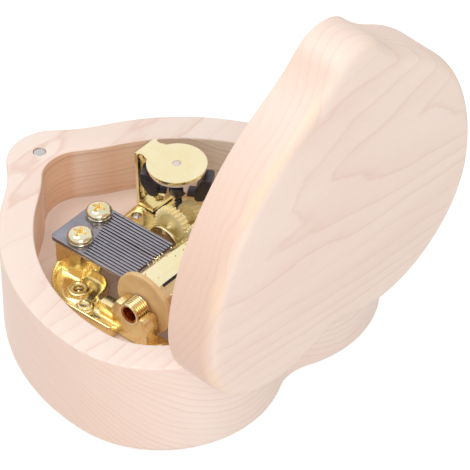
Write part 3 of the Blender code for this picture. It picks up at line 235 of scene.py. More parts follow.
def maple(name, axes, tones, centre, rise, spacing, sway, seed, strength, edge_highlight=None):
    """Pale maple: growth rings round an axis that runs nearly along the grain.

    axes are the directions along, across and up. centre is the rings' axis in
    (across, up) millimetres, rise its slope, spacing the width of a ring and sway
    how far the rings wander. seed moves the noise, and strength darkens the lines.
    tones are the pale, the darker, the line's and the end grain's colour; on the pocket
    walls the last is a pale painted highlight. The edge highlight is a colour painted in
    patches on the rounded edges between up and the sides, as a highlight where they catch light."""
    mat, tree = new_material(name)
    along, _, up = axes
    pale, dark, line, end_grain_and_wall_highlight = [srgb(tone) for tone in tones]
    mm = tree.millimetres(axes)

    def grain_noise(run, cross, offset, detail, roughness):
        """Noise with its scales along and across the grain, per millimetre."""
        shift = seed * 3.1 + offset
        scaled = [tree.multiply(value, scale) for value, scale in zip(mm, (run, cross, cross))]
        parts = [tree.add(value, shift) for value in scaled]
        return tree.noise(tree.combine(parts), 1.0, detail, roughness)

    def swing(noise, reach):
        return tree.multiply(tree.subtract(noise, 0.5), reach)

    wander = swing(grain_noise(0.016, 0.05, 0.0, 2.0, 0.45), sway)
    ripple = swing(grain_noise(0.10, 0.35, 7.0, 2.0, 0.5), 0.55)
    a = tree.subtract(mm[1], centre[0])
    b = tree.add(tree.subtract(mm[2], centre[1]), tree.multiply(mm[0], rise))
    radius = tree.math("SQRT", tree.add(tree.multiply(a, a), tree.multiply(b, b)))
    rings = tree.math("DIVIDE", tree.add(radius, tree.add(wander, ripple)), spacing)
    # Each ring has a dark line at its end, with its own strength
    pick = tree.node("TexWhiteNoise")
    pick.noise_dimensions = "1D"
    tree.feed(pick.inputs["W"], tree.math("FLOOR", rings))
    depth = tree.add(tree.multiply(pick.outputs["Value"], 0.8), 0.2)
    share = tree.math("FRACT", rings)
    late = tree.ramp(share, (0.0, 0.08), (0.08, 0.0), (0.5, 0.06), (0.84, 0.3), (0.94, 1.0), (1.0, 0.08))
    late = tree.multiply(late, depth)
    blotch = tree.ramp(grain_noise(0.02, 0.06, 3.0, 3.0, 0.55), (0.3, 0.0), (0.7, 1.0))
    fleck = tree.ramp(grain_noise(0.35, 3.2, 11.0, 3.0, 0.6), (0.35, 0.0), (0.75, 1.0))
    # End grain, where the surface faces along the fibres, has a tone of its own; on the pocket walls this
    # tone is a pale painted highlight
    normal = tree.coords("Normal")
    facing = tree.ramp(tree.math("ABSOLUTE", tree.dot(normal, along)), (0.5, 0.0), (1.0, 1.0))
    tone = tree.blend(tree.blend(pale, dark, blotch), end_grain_and_wall_highlight, facing)
    tone = tree.blend(tone, line, tree.multiply(late, strength, clamp=True))
    tone = tree.blend(tone, line, tree.multiply(fleck, strength * 0.2, clamp=True))
    # Painted highlight: a pale warm colour in patches on the rounded edges between up and the sides, where
    # they catch the light
    if edge_highlight:
        turned_up = tree.math("ABSOLUTE", tree.dot(normal, up))
        painted_light_mask = tree.ramp(turned_up, (0.05, 0.0), (0.45, 1.0), (0.75, 1.0), (0.97, 0.0))
        patch = tree.ramp(grain_noise(0.05, 0.05, 8.0, 2.0, 0.5), (0.38, 0.0), (0.62, 0.55))
        tone = tree.blend(tone, srgb(edge_highlight), tree.multiply(painted_light_mask, patch, clamp=True))
    tree.shade("Base Color", tone)
    tree.shade("Roughness", tree.ramp(fleck, (0.0, 0.46), (1.0, 0.58)))
    tree.shade("Specular IOR Level", 0.35)
    tree.bump(tree.add(tree.multiply(fleck, 0.5), late), 0.05, 0.0002)
    return mat


def metal(name, colour, shade, roughness, streak, relief=0.03):
    """Polished or ground metal with fine streaks, cloudy tone and uneven gloss."""
    mat, tree = new_material(name)
    axes = ((1, 0, 0), (0, -1, 0), (0, 0, 1))
    fine = tree.noise(tree.combine(tree.millimetres(axes, streak)), 1.0, 3.0, 0.6)
    cloud = tree.noise(tree.combine(tree.millimetres(axes, (0.25, 0.25, 0.25))), 1.0, 3.0, 0.5)
    cloud = tree.ramp(cloud, (0.35, 0.0), (0.75, 1.0))
    low, high = roughness
    tree.shade("Base Color", tree.blend(srgb(colour), srgb(shade), cloud))
    tree.shade("Metallic", 1.0)
    tree.shade("Roughness", tree.ramp(fine, (0.3, low), (0.75, high)))
    tree.bump(fine, relief, 0.0001)
    return mat


def plastic(name, colour, shade, roughness, subsurface=0.0):
    """Moulded plastic with a faint cloudy tone and a fine moulded skin."""
    mat, tree = new_material(name)
    coords = tree.combine(tree.millimetres(((1, 0, 0), (0, 1, 0), (0, 0, 1))))
    cloud = tree.ramp(tree.noise(coords, 0.35, 3.0, 0.55), (0.35, 0.0), (0.7, 1.0))
    fine = tree.noise(coords, 6.0, 3.0, 0.6)
    tree.shade("Base Color", tree.blend(srgb(colour), srgb(shade), cloud))
    tree.shade("Roughness", tree.ramp(fine, (0.3, roughness), (0.75, roughness + 0.12)))
    tree.shade("Subsurface Weight", subsurface)
    tree.shade("Subsurface Radius", (0.002, 0.0015, 0.0008))
    tree.bump(fine, 0.05, 0.0001)
    return mat


def lid_direction(y, z):
    """A direction given on the closed lid, in the open lid's frame."""
    c, s = cos(-OPEN), sin(-OPEN)
    return (0.0, y * c - z * s, y * s + z * c)


def make_wood():
    """Base grain runs along X and its rings tilt; the lid is cut flat to its rings."""
    c, s = cos(radians(22)), sin(radians(22))
    base_axes = ((1, 0, 0), (0.0, c, -s), (0.0, s, c))
    tones = ((252, 235, 225), (249, 228, 215), (218, 168, 140), (247, 219, 203))
    log = {"centre": (0.0, -95.0), "rise": 0.0, "seed": 1.0}
    base = maple("maple_base", base_axes, tones, spacing=1.45, sway=5.0, strength=0.42, **log)
    # Pocket walls: darker, browner wood, with a pale tone where they face along X that is a painted
    # highlight for the far wall lit from +X
    tones = ((236, 198, 170), (228, 182, 150), (170, 112, 78), (255, 250, 240))
    pocket_wall_maple = maple("maple_pocket_walls_painted_light", base_axes, tones, spacing=1.8, sway=14.0, strength=0.55, **log)
    up = lid_direction(0.0, 1.0)
    across = lid_direction(1.0, 0.0)
    # The open lid's face lies this far along its own normal from the frame's origin
    hinge = Vector((0, HINGE_Y, HINGE_Z))
    face = Vector(up).dot(hinge) + LID_SEAT + LID_T - HINGE_Z
    middle = Vector(across).dot(hinge) - HINGE_Y
    tones = ((251, 230, 217), (247, 223, 209), (216, 168, 142), (238, 203, 184))
    lid = maple(
        "maple_lid", ((1, 0, 0), across, up), tones,
        centre=(middle - 14.0, face - 62.0), rise=0.06, spacing=2.0, sway=7.0, seed=4.0, strength=0.34,
        # Painted highlight along the lid's rounded edge
        edge_highlight=(255, 222, 184),
    )
    return base, pocket_wall_maple, lid


# Mesh helpers


def add_object(name, data):
    made = bpy.data.objects.new(name, data)
    bpy.context.scene.collection.objects.link(made)
    return made


def add_mesh(name, bm, mat):
    mesh = bpy.data.meshes.new(name)
    bm.to_mesh(mesh)
    bm.free()
    if mat is not None:
        mesh.materials.append(mat)
    return add_object(name, mesh)


def smooth(made, sharp=32.0):
    """Smooth shading that leaves edges over an angle in degrees sharp."""
    made.data.shade_smooth()
    made.data.set_sharp_from_angle(angle=radians(sharp))
    return made


def apply_modifier(made, modifier):
    bpy.context.view_layer.objects.active = made
    with bpy.context.temp_override(object=made, active_object=made):
        bpy.ops.object.modifier_apply(modifier=modifier.name)


def ease(made, width, segments, angle, sharp=32.0):
    """Fine bevel on edges over an angle in degrees, then smooth shading."""
    modifier = made.modifiers.new("bevel", "BEVEL")
    modifier.width = width * MM
    modifier.segments = segments
    modifier.limit_method = "ANGLE"
    modifier.angle_limit = radians(angle)
    apply_modifier(made, modifier)
    return smooth(made, sharp)


def lofted(name, mat, *solids, closed=False, sharp=32.0):
    """Solids in one mesh, each through rings of points in millimetres.

    closed joins each solid's last ring to its first, and has no end faces."""
    bm = bmesh.new()
    for loops in solids:
        rings = [[bm.verts.new(point) for point in loop] for loop in loops]
        pairs = list(zip(rings, rings[1:]))
        if closed:
            pairs.append((rings[-1], rings[0]))
        for lower, upper in pairs:
            for i in range(len(lower)):
                j = (i + 1) % len(lower)
                bm.faces.new((lower[i], lower[j], upper[j], upper[i]))
        if not closed:
            bm.faces.new(rings[0][::-1])
            bm.faces.new(rings[-1])
    bmesh.ops.remove_doubles(bm, verts=bm.verts, dist=1e-4)
    bmesh.ops.recalc_face_normals(bm, faces=bm.faces)
    bmesh.ops.scale(bm, vec=(MM, MM, MM), verts=bm.verts)
    return smooth(add_mesh(name, bm, mat), sharp)


def tool_of(*solids):
    return lofted("tool", None, *solids)


def place(axis, a, b, height):
    """A point from its place across the X or Z axis and its height along it."""
    return (height, a, b) if axis == "X" else (a, b, height)


def turned(name, profile, centre, mat, axis="Z", sides=64, closed=False, sharp=32.0):
    """A turned solid; its profile is (radius, height) pairs, closed where it has a bore."""
    rings = []
    for radius, height in profile:
        ring = []
        for step in range(sides):
            angle = 2 * pi * step / sides
            offset = place(axis, radius * cos(angle), radius * sin(angle), height)
            ring.append(Vector(centre) + Vector(offset))
        rings.append(ring)
    return lofted(name, mat, rings, closed=closed, sharp=sharp)


def prism(name, outline, low, high, mat, axis="Z"):
    return lofted(name, mat, [[place(axis, *point, at) for point in outline] for at in (low, high)])


def boolean(target, tool, operation="DIFFERENCE"):
    modifier = target.modifiers.new("boolean", "BOOLEAN")
    modifier.operation = operation
    modifier.solver = "EXACT"
    modifier.object = tool
    apply_modifier(target, modifier)
    bpy.data.objects.remove(tool, do_unlink=True)


def cut_turned(target, profile, centre, axis="Z", sides=48, closed=False):
    boolean(target, turned("tool", profile, centre, None, axis, sides, closed))


def cut_round(target, radius, low, high, centre, axis="Z", sides=48):
    cut_turned(target, [(radius, low), (radius, high)], centre, axis, sides)


def cut_prism(target, outline, low, high, axis="Z"):
    boolean(target, prism("tool", outline, low, high, None, axis))


def join_prism(target, outline, low, high, axis="Z"):
    boolean(target, prism("tool", outline, low, high, None, axis), "UNION")


def join_turned(target, profile, centre, axis="Z", sides=48):
    boolean(target, turned("tool", profile, centre, None, axis, sides), "UNION")


def box_outline(low_a, high_a, low_b, high_b):
    return [(low_a, low_b), (high_a, low_b), (high_a, high_b), (low_a, high_b)]


def quarter_steps(count):
    """Sine and cosine of the angles from 0 to 90 degrees, in count steps."""
    angles = [pi / 2 * step / count for step in range(count + 1)]
    return [(sin(angle), cos(angle)) for angle in angles]


def arc(centre, radius, start, end, count):
    out = []
    for step in range(count + 1):
        angle = start + (end - start) * step / count
        out.append(Vector((centre[0] + radius * cos(angle), centre[1] + radius * sin(angle))))
    return out


def bearing(start, end):
    return atan2(end.y - start.y, end.x - start.x)


def heart(offset, inner_tip=None):
    """The heart's outline of tangent arcs, moved inwards by offset."""
    lobe = Vector(LOBE)
    notch = Vector((0.0, LOBE[1] + sqrt((LOBE_R + NOTCH_R) ** 2 - LOBE[0] ** 2)))
    tip = Vector((0.0, TIP_Y + TIP_R))
    half_width = LOBE[0] + LOBE_R
    drop = LOBE[1] - tip.y
    reach = TIP_FLARE - TIP_R
    side_r = (half_width**2 + drop**2 - reach**2) / (2 * (half_width + reach))
    side = Vector((half_width - side_r, LOBE[1]))
    span = (tip - side).length
    r1, r2 = side_r + FLANK_R, TIP_R + FLANK_R
    along = (r1**2 - r2**2 + span**2) / (2 * span)
    aside = sqrt(r1**2 - along**2)
    step = (tip - side).normalized()
    options = [side + step * along + Vector((-step.y, step.x)) * s * aside for s in (1, -1)]
    flank = max(options, key=lambda p: p.x)
    if inner_tip is None:
        tip_r = TIP_R - offset
    else:
        tip_r = inner_tip
        reach_tip = FLANK_R + offset + tip_r
        tip = Vector((0.0, flank.y + sqrt(reach_tip**2 - flank.x**2)))
    full = 2 * pi
    flank_turns = bearing(flank, side) % full, bearing(flank, tip) % full
    half = arc(notch, NOTCH_R + offset, -pi / 2, bearing(notch, lobe), 15)
    half += arc(lobe, LOBE_R - offset, bearing(lobe, notch), 0.0, 42)[1:]
    half += arc(side, side_r - offset, 0.0, bearing(side, flank), 30)[1:]
    half += arc(flank, FLANK_R + offset, *flank_turns, 15)[1:]
    half += arc(tip, tip_r, bearing(tip, flank), -pi / 2, 15)[1:]
    return [Vector((-p.x, p.y)) for p in half[1:-1]] + half[::-1]


def outer_loop(inset, z):
    """The outside of the box, moved inwards by inset."""
    return [(*point, z) for point in heart(inset)]


def pocket_loop(inset, z):
    """The hollow's outline, moved inwards by inset, away from the outside."""
    return [(*point, z) for point in heart(WALL + inset, INNER_TIP_R - inset)]


def left_normals(curve):
    out = []
    for index in range(len(curve)):
        step = curve[min(index + 1, len(curve) - 1)] - curve[max(index - 1, 0)]
        step.normalize()
        out.append(Vector((-step.y, step.x)))
    return out


def swept(curve, section):
    """A wall along a curve; its section is (distance to the left, height) pairs."""
    loops = []
    for point, normal in zip(curve, left_normals(curve)):
        loops.append([(point.x + normal.x * out, point.y + normal.y * out, z) for out, z in section])
    return tool_of(loops)


def rounded(points, radius):
    """Round the corners of a closed outline, as far as its edges allow."""
    out = []
    count = len(points)
    for index, point in enumerate(points):
        before = points[index - 1] - point
        after = points[(index + 1) % count] - point
        reach = min(radius, before.length * 0.45, after.length * 0.45)
        start = point + before.normalized() * reach
        end = point + after.normalized() * reach
        for step in range(5):
            t = step / 4
            out.append(start * (1 - t) ** 2 + point * 2 * t * (1 - t) + end * t**2)
    return out


BODY_OF = {node: body for body, nodes in frame["record"]["behaviour"]["bodies"].items() for node in nodes}


def stand_for(piece, node):
    """Let the piece replace a CAD node, in the node's body."""
    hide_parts(node)
    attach(piece, BODY_OF[node])


def paint(piece, mat, chosen):
    """Give the faces that chosen(centre, normal) picks, in millimetres, another material."""
    piece.data.materials.append(mat)
    index = len(piece.data.materials) - 1
    for face in piece.data.polygons:
        if chosen(face.center / MM, face.normal):
            face.material_index = index


def refined(node, mat, bevel=None, angle=38.0):
    """The node's own shape, with its flat facets joined and its edges eased."""
    bm = bmesh.new()
    bm.from_mesh(frame["nodes"][node].data)
    bmesh.ops.remove_doubles(bm, verts=bm.verts, dist=2e-6)
    limit = radians(1.0)
    bmesh.ops.dissolve_limit(bm, angle_limit=limit, verts=bm.verts, edges=bm.edges)
    made = add_mesh(node + "_fine", bm, mat)
    stand_for(ease(made, bevel, 2, angle) if bevel else smooth(made), node)


def node_heights(node):
    """The node's lowest and highest z in millimetres."""
    return [corner.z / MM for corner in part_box(node)]


# Box


def open_lid(made):
    """Turn a piece modelled on the closed lid to the stored, open place."""
    pivot = Matrix.Translation((0.0, HINGE_Y * MM, HINGE_Z * MM))
    made.data.transform(pivot @ Matrix.Rotation(-OPEN, 4, "X") @ pivot.inverted())


def wedge(upward):
    """Cut behind the hinge, in (y, z): the cut faces lie GAP apart when the lid is open."""
    slope = tan(OPEN / 2)
    shift = (GAP / 2) / cos(OPEN / 2)
    sign = 1.0 if upward else -1.0
    rise = 13.9
    run = 10.65
    front = (HINGE_Y - (rise + shift) / slope, HINGE_Z + sign * rise)
    back = (HINGE_Y + run, HINGE_Z - sign * (run * slope + shift))
    corner = (HINGE_Y + run, HINGE_Z + sign * rise)
    return [front, back, corner]


def cut_fittings(half, upward, hinge, magnet):
    """The wedge, the hinges' bores and the magnet's hole, with their lowest and highest z."""
    cut_prism(half, wedge(upward), -46, 46, "X")
    for side in (-1, 1):
        cut_round(half, HINGE_BORE, *hinge, (side * HINGE_X, HINGE_Y, HINGE_Z))
    cut_round(half, MAGNET_BORE, *magnet, (0.0, MAGNET_Y, 0.0))


def make_base(mat, pocket_wall_maple):
    foot, rim, lip = 1.2, 0.45, 0.5
    loops = [outer_loop(foot * (1 - c), foot * (1 - s)) for s, c in quarter_steps(5)[::-1]]
    loops += [outer_loop(rim * (1 - c), BASE_H - rim + rim * s) for s, c in quarter_steps(4)]
    loops += [pocket_loop(lip * (s - 1), BASE_H - lip + lip * c) for s, c in quarter_steps(4)]
    loops += [pocket_loop(inset, FLOOR_Z + rise) for inset, rise in ((0.0, 0.4), (0.12, 0.1), (0.4, 0.0))]
    base = lofted("base_wood", mat, loops)
    cut_fittings(base, True, (-9.3, 9.0), (23.4, 30.0))
    # Key recess and the winding arbor's hole
    cut_round(base, 14.0, -8.5, 8.5, BARREL, sides=96)
    cut_round(base, 2.6, 4.0, 20.0, BARREL)
    # Holes and head recesses of the mounting screws
    for spot in MOUNT_SCREWS.values():
        cut_round(base, 1.34, 2.0, 20.0, spot)
        cut_round(base, 2.64, -5.0, 5.0, spot)
    # Milled deeper where the bedplate is open
    cut_prism(base, box_outline(0.8, 18.9, -13.4, 16.2), 5.2, 20.0)
    smooth(base)

    def in_pocket(at, normal):
        upright = abs(normal.z) < 0.5 and FLOOR_Z < at.z < BASE_H - 0.3
        return upright and normal.x * at.x + normal.y * (at.y + 5) < 0 and at.y < HINGE_Y - WALL / 2

    # The pocket's upright walls get that darker wood, with its painted highlight where they face along X
    paint(base, pocket_wall_maple, in_pocket)
    stand_for(base, "base_box")


def make_lid(mat):
    ceiling = LID_SEAT + LID_CAVITY
    top = LID_SEAT + LID_T
    lip, rim, rounding = 0.5, 0.45, 3.2
    loops = [pocket_loop(inset, ceiling - drop) for inset, drop in ((0.8, 0.0), (0.25, 0.25), (0.0, 0.8))]
    loops += [pocket_loop(lip * (c - 1), LID_SEAT + lip - lip * s) for s, c in quarter_steps(4)]
    loops += [outer_loop(rim * (1 - s), LID_SEAT + rim * (1 - c)) for s, c in quarter_steps(4)]
    loops += [outer_loop(rounding * (1 - c), top - rounding + rounding * s) for s, c in quarter_steps(8)]
    lid = lofted("lid_wood", mat, loops)
    cut_fittings(lid, False, (-9.0, 9.3), (20.0, LID_SEAT + 2.6))
    smooth(lid)
    open_lid(lid)
    stand_for(lid, "lid")


# Bedplate


def near_lobe():
    centre = (PLATE_NEAR_X - PLATE_LOBE_R, PLATE_LOBE_Y)
    start = asin((COMB_BACK + 1.6 - PLATE_LOBE_Y) / PLATE_LOBE_R)
    return arc(centre, PLATE_LOBE_R, start, 0.0, 28) + [Vector((PLATE_NEAR_X, 4.1))]


def plate_outline():
    points = [(POST_X[1], POST_BACK), (PLATE_NEAR_X, 13.7), (22.0, 18.0), (-7.3, 18.0)]
    points += arc(BARREL, 12.3, radians(50), radians(215), 40)
    points += [(-24.5, -12.0), (-19.0, -22.1)]
    return points + near_lobe() + [(POST_X[1], 4.1)]


def wall_curve():
    points = [Vector((14.0, -13.9)), Vector((14.0, -12.0))]
    points += arc((19.0, -10.1), 5.0, pi, pi / 2, 16)
    points += arc((19.0, -2.8), 2.3, -pi / 2, 0.0, 12)[1:]
    return points + [Vector((21.3, 1.5))]


def make_bedplate(mat):
    low, top = PLATE_LOW, PLATE_TOP
    plate = prism("bedplate_cast", plate_outline(), low, top, mat)
    root = low + 0.3
    # Tray: rim with a rounded crest and a hollow fillet down to the floor
    rim = [(0.0, root), (0.0, 14.62), (0.10, 14.83), (0.28, 14.9), (0.55, 14.85), (0.72, 14.65)]
    rim += [(0.85, 14.1), (1.15, 13.55), (1.7, 13.22), (2.5, top - 0.02), (2.5, root)]
    boolean(plate, swept(near_lobe(), rim), "UNION")
    wall = [(0.0, root), (0.0, 15.0), (-0.1, 15.22), (-0.32, 15.3), (-0.58, 15.24), (-0.72, 15.0)]
    wall += [(-0.85, 14.3), (-1.1, 13.6), (-1.55, 13.22), (-2.2, top - 0.02), (-2.2, root)]
    boolean(plate, swept(wall_curve(), wall), "UNION")
    # Comb seat with its web and its soft foot
    seat = [(2.2, -21.8), (17.0, -21.8), (17.2, -21.6), (17.2, -13.9), (17.0, -13.7), (2.2, -13.7)]
    join_prism(plate, seat, root, 20.9)
    web = arc((17.2, -10.1), 3.6, -pi / 2, -pi, 16)
    join_prism(plate, web + [(12.6, -10.1), (12.6, -14.7), (17.2, -14.7)], root, 19.7)
    foot = [(16.0, top - 0.4), (17.2, top), (18.4, top), (17.7, 13.25), (17.35, 13.55), (17.2, 14.0)]
    boolean(plate, tool_of([[(x, y, z) for x, z in foot] for y in (-21.0, -13.8)]), "UNION")
    # Boss round the near mounting hole
    boss = [(4.4, root), (4.4, top + 0.02), (3.5, 13.2), (3.0, 13.5), (2.75, 14.0), (2.6, 14.4), (2.4, 14.5)]
    boss += [(1.95, 14.5), (1.85, 14.3)]
    join_turned(plate, boss, MOUNT_SCREWS["near"], sides=56)
    # Posts
    post = [(2.7, root), (2.7, 18.5), (4.1, 21.4), (DRUM_Y, 21.4), (DRUM_Y, DRUM_Z), (12.1, DRUM_Z)]
    post += [(12.8, 19.1), (13.1, 18.2), (POST_BACK, 15.5), (POST_BACK, root)]
    join_prism(plate, post, *POST_X, "X")
    shoulder = [(-2.4, root), (-2.4, 16.9), (-2.1, 17.3), (1.5, 17.3), (4.1, 21.2), (4.1, root)]
    join_prism(plate, shoulder, POST_X[0], SHOULDER_X, "X")
    crown = arc((DRUM_Y, DRUM_Z), 2.6, radians(170), radians(10), 24)
    far = [(2.7, root), (2.7, 15.5)] + crown + [(13.5, 15.5), (13.5, root)]
    join_prism(plate, far, -8.7, -6.7, "X")
    # Windows under the drum, the tines, the pinion and the worm wheel
    under_tines = [(p.x - 0.3, p.y) for p in wall_curve() if p.x < 20.0 and p.y < -0.4]
    under_tines += [(20.0, 0.2), (0.4, 0.2), (0.4, -13.9)]
    windows = [box_outline(-6.4, 20.0, -0.375, 16.575), under_tines]
    windows += [box_outline(-6.55, -3.05, -10.85, -4.75), box_outline(-17.1, -13.5, -12.08, -3.52)]
    for window in windows:
        cut_prism(plate, window, 9.9, DRUM_Z)
    # Round holes
    cut_round(plate, 10.6, 9.9, DRUM_Z, BARREL, sides=96)
    cut_round(plate, BUSH_R + 0.06, POST_X[0] - 0.6, POST_X[1] + 0.6, DRUM_AXIS, "X", 64)
    cut_round(plate, ARBOR_BORE, -9.3, -6.1, DRUM_AXIS, "X")
    for spot in COMB_SCREWS.values():
        cut_round(plate, COMB_SCREW_BORE, top, COMB_TOP, spot)
    for spot in MOUNT_SCREWS.values():
        cut_round(plate, 1.25, 9.9, 15.9, spot)
    cut_round(plate, 1.12, 9.9, 15.9, STUD)
    cut_round(plate, 0.92, 9.9, 15.9, RIVET)
    stand_for(ease(plate, 0.13, 2, 40.0, 30.0), "bedplate")


def make_bush(mat, dark):
    start, end = 20.0, 24.4
    ridges = 7
    pitch = (end - start - 0.25) / ridges
    wave = ((0.0, 0.36), (0.16, 0.42), (0.32, 0.36), (0.52, 0.04), (0.68, 0.0), (0.84, 0.04))
    profile = [(ARBOR_BORE, start)]
    for index in range(ridges):
        low = start + pitch * index
        profile += [(BUSH_R - depth, low + pitch * share) for share, depth in wave]
    profile += [(BUSH_R - 0.3, end - 0.24), (BUSH_R - 0.05, end - 0.14), (BUSH_R - 0.05, end - 0.06)]
    profile += [(BUSH_R - 0.12, end), (2.42, end), (2.3, end - 0.08)]
    # Thread of the hollow mouth
    for index in range(5):
        low = end - 0.35 - index * 0.52
        profile += [(2.28, low + 0.14), (1.92, low), (1.92, low - 0.1), (2.28, low - 0.26)]
    profile += [(1.75, end - 3.1), (ARBOR_BORE, end - 3.1)]
    bush = turned("bush_fine", profile, DRUM_AXIS, mat, "X", 72, closed=True, sharp=20.0)

    # Painted shade: the groove bottoms and the inside of the mouth get a darker copper colour
    def painted_light_mask(at, normal):
        radius = hypot(at.y - DRUM_Y, at.z - DRUM_Z)
        return radius < 2.29 or radius < BUSH_R - 0.3 and at.x < end - 0.4

    paint(bush, dark, painted_light_mask)
    stand_for(bush, "threaded_bush")


# Comb


def make_comb(mat):
    far, near, tips = 1.26, COMB_NEAR, COMB_TIP
    low = COMB_TOP - COMB_T
    half_slot, shift = 0.17, 0.15
    outline = [(near, COMB_BACK + 1.2)]
    outline += arc((near - 1.2, COMB_BACK + 1.2), 1.2, 0.0, -pi / 2, 5)[1:]
    outline += arc((far + 0.5, COMB_BACK + 0.5), 0.5, -pi / 2, -pi, 4)
    for tine in range(TINES):
        last = tine == TINES - 1
        left = far + tine * PITCH + (half_slot - shift if tine else 0.0)
        right = near if last else far + (tine + 1) * PITCH - shift - half_slot
        # One slot is wider towards the tips
        wide = 0.09 if tine == 6 else 0.0
        trim = 0.09 if tine == 7 else 0.0
        outline += [(left + trim, tips), (right - wide, tips)]
        if last:
            break
        root = -17.0 + 4.5 * ((tine + 0.5) / (TINES - 1))
        next_left = right + 2 * half_slot
        if wide:
            outline.append((right - wide, tips - 6.0))
        outline += [(right, root + half_slot), (right + half_slot, root), (next_left, root + half_slot)]
        if wide:
            outline.append((next_left + wide, tips - 6.0))
    comb = prism("comb_fine", outline, low, COMB_TOP, mat)
    under = [(-11.6, low), (tips + 1.0, low + 0.5), (tips + 1.0, low - 1.0), (-11.6, low - 1.0)]
    cut_prism(comb, under, far - 1.0, near + 1.0, "X")
    for spot in COMB_SCREWS.values():
        cut_round(comb, COMB_SCREW_BORE, 20.0, 24.0, spot, sides=32)
    mark = [(0.42, COMB_TOP - 0.16), (0.55, COMB_TOP + 0.2)]
    cut_turned(comb, mark, (8.3, -17.4, 0.0), sides=24)
    stand_for(ease(comb, 0.06, 2, 40.0, 30.0), "comb")


def cross_tool(spot, top, reach, half, depth):
    """Cross-shaped cutter that narrows towards its bottom."""
    x, y, _ = spot
    c, s = cos(radians(12)), sin(radians(12))
    loops = []
    for z, scale in ((top - depth, 0.62), (top + 0.3, 1.12)):
        a, b = half * scale, reach * scale
        ring = [(b, -a), (b, a), (a, a), (a, b), (-a, b), (-a, a)]
        ring += [(-p, -q) for p, q in ring]
        loops.append([(x + p * c - q * s, y + p * s + q * c, z) for p, q in ring])
    return tool_of(loops)


def make_comb_screws(mat, recess_reflection_gold):
    seat = COMB_TOP + 0.05
    top = seat + 2.48
    head = [(0.3, 0.0), (0.2, 0.1), (0.2, 0.32), (0.32, 0.42), (0.3, 0.55), (0.06, 0.75), (0.0, 1.0)]
    head += [(0.08, 1.35), (0.35, 1.8), (0.8, 2.15), (1.4, 2.36), (2.2, 2.46)]
    profile = [(1.3, 13.8), (1.3, seat)]
    profile += [(SCREW_R - inset, seat + rise) for inset, rise in head] + [(0.2, top)]
    for name, spot in COMB_SCREWS.items():
        screw = turned("comb_screw_%s_fine" % name, profile, spot, mat, sides=72)
        boolean(screw, cross_tool(spot, top, 1.85, 0.46, 1.2))
        ease(screw, 0.05, 2, 40.0, 34.0)

        # Painted reflection: the cross's walls and floor get a more saturated gold, for the light the recess
        # throws back on itself
        def in_cross(at, normal):
            away = hypot(at.x - spot[0], at.y - spot[1])
            on_wall = away < 2.0 and at.z < seat + 2.44 and normal.z < 0.97
            on_floor = away < 1.5 and at.z < seat + 1.7
            return at.z > seat + 0.9 and (on_wall or on_floor)

        paint(screw, recess_reflection_gold, in_cross)
        stand_for(screw, "comb_screw_" + name)


# Drum and train


def pin_places():
    """Angle and x of the pins, in the CAD drum's pattern."""
    for row in range(40):
        for tine in range(TINES):
            mark = (row * 7 + tine * 11 + row * row * 3 + tine * row * 5) % 23
            if mark < 2 and row > 1:
                yield 2 * pi * (row + 0.5) / 40, COMB_NEAR - PITCH * (TINES - tine - 0.5) + 0.15


def pin(turn, x):
    """Rings of a pin that stands out of the drum."""
    out = Vector((0.0, cos(turn), sin(turn)))
    side = Vector((0.0, -out.z, out.y))
    along = Vector((1, 0, 0))
    angles = [2 * pi * step / 8 for step in range(8)]
    rings = []
    for reach, radius in ((6.1, 0.19), (DRUM_R + 0.32, 0.17), (DRUM_R + 0.42, 0.11)):
        centre = Vector((x, DRUM_Y, DRUM_Z)) + out * reach
        rings.append([centre + side * radius * cos(a) + along * radius * sin(a) for a in angles])
    return rings


def make_drum(mat, dark):
    low, high = -0.6, 17.8
    profile = [(5.5, low), (6.3, low), (DRUM_R, low + 0.1), (DRUM_R, high - 0.1), (6.3, high), (5.5, high)]
    drum = turned("drum_skin", profile, DRUM_AXIS, mat, "X", 120, closed=True)
    # Seam, with a row of pins beside it
    out = Vector((cos(SEAM), sin(SEAM)))
    side = Vector((-out.y, out.x))
    middle = Vector((DRUM_Y, DRUM_Z))
    corners = ((5.6, -0.34), (7.4, -0.42), (7.4, 0.42), (5.6, 0.34))
    cut_prism(drum, [middle + out * r + side * s for r, s in corners], 0.9, 16.1, "X")
    places = list(pin_places())
    places += [(SEAM - 0.115, 17.85 - PITCH * (index + 2)) for index in range(16) if index % 5 != 3]
    boolean(drum, tool_of(*[pin(turn, x) for turn, x in places]), "UNION")
    smooth(drum, 30.0)

    # Painted shade: the seam slot's walls are black, for the dark gap into the drum
    def in_seam(at, normal):
        out = Vector((at.y - DRUM_Y, at.z - DRUM_Z))
        near = abs(remainder(atan2(out.y, out.x) - SEAM, 2 * pi)) < 0.16
        return near and 1.0 < at.x < 16.0 and out.length < DRUM_R - 0.06

    paint(drum, dark, in_seam)
    stand_for(drum, "drum")


def make_drum_cap(mat):
    r = CAP_R
    profile = [(ARBOR_BORE, 18.1), (r - 0.15, 18.1), (r, 18.25), (r, 19.05)]
    profile += [(r - 0.3 + 0.3 * c, 19.1 + 0.3 * s) for s, c in quarter_steps(4)]
    profile += [(r - 1.2, 19.4), (r - 1.35, 19.36), (3.6, 19.36), (3.5, 19.4), (ARBOR_BORE, 19.4)]
    cap = turned("drum_cap_fine", profile, DRUM_AXIS, mat, "X", 120, closed=True)
    stand_for(cap, "drum_end_cap")


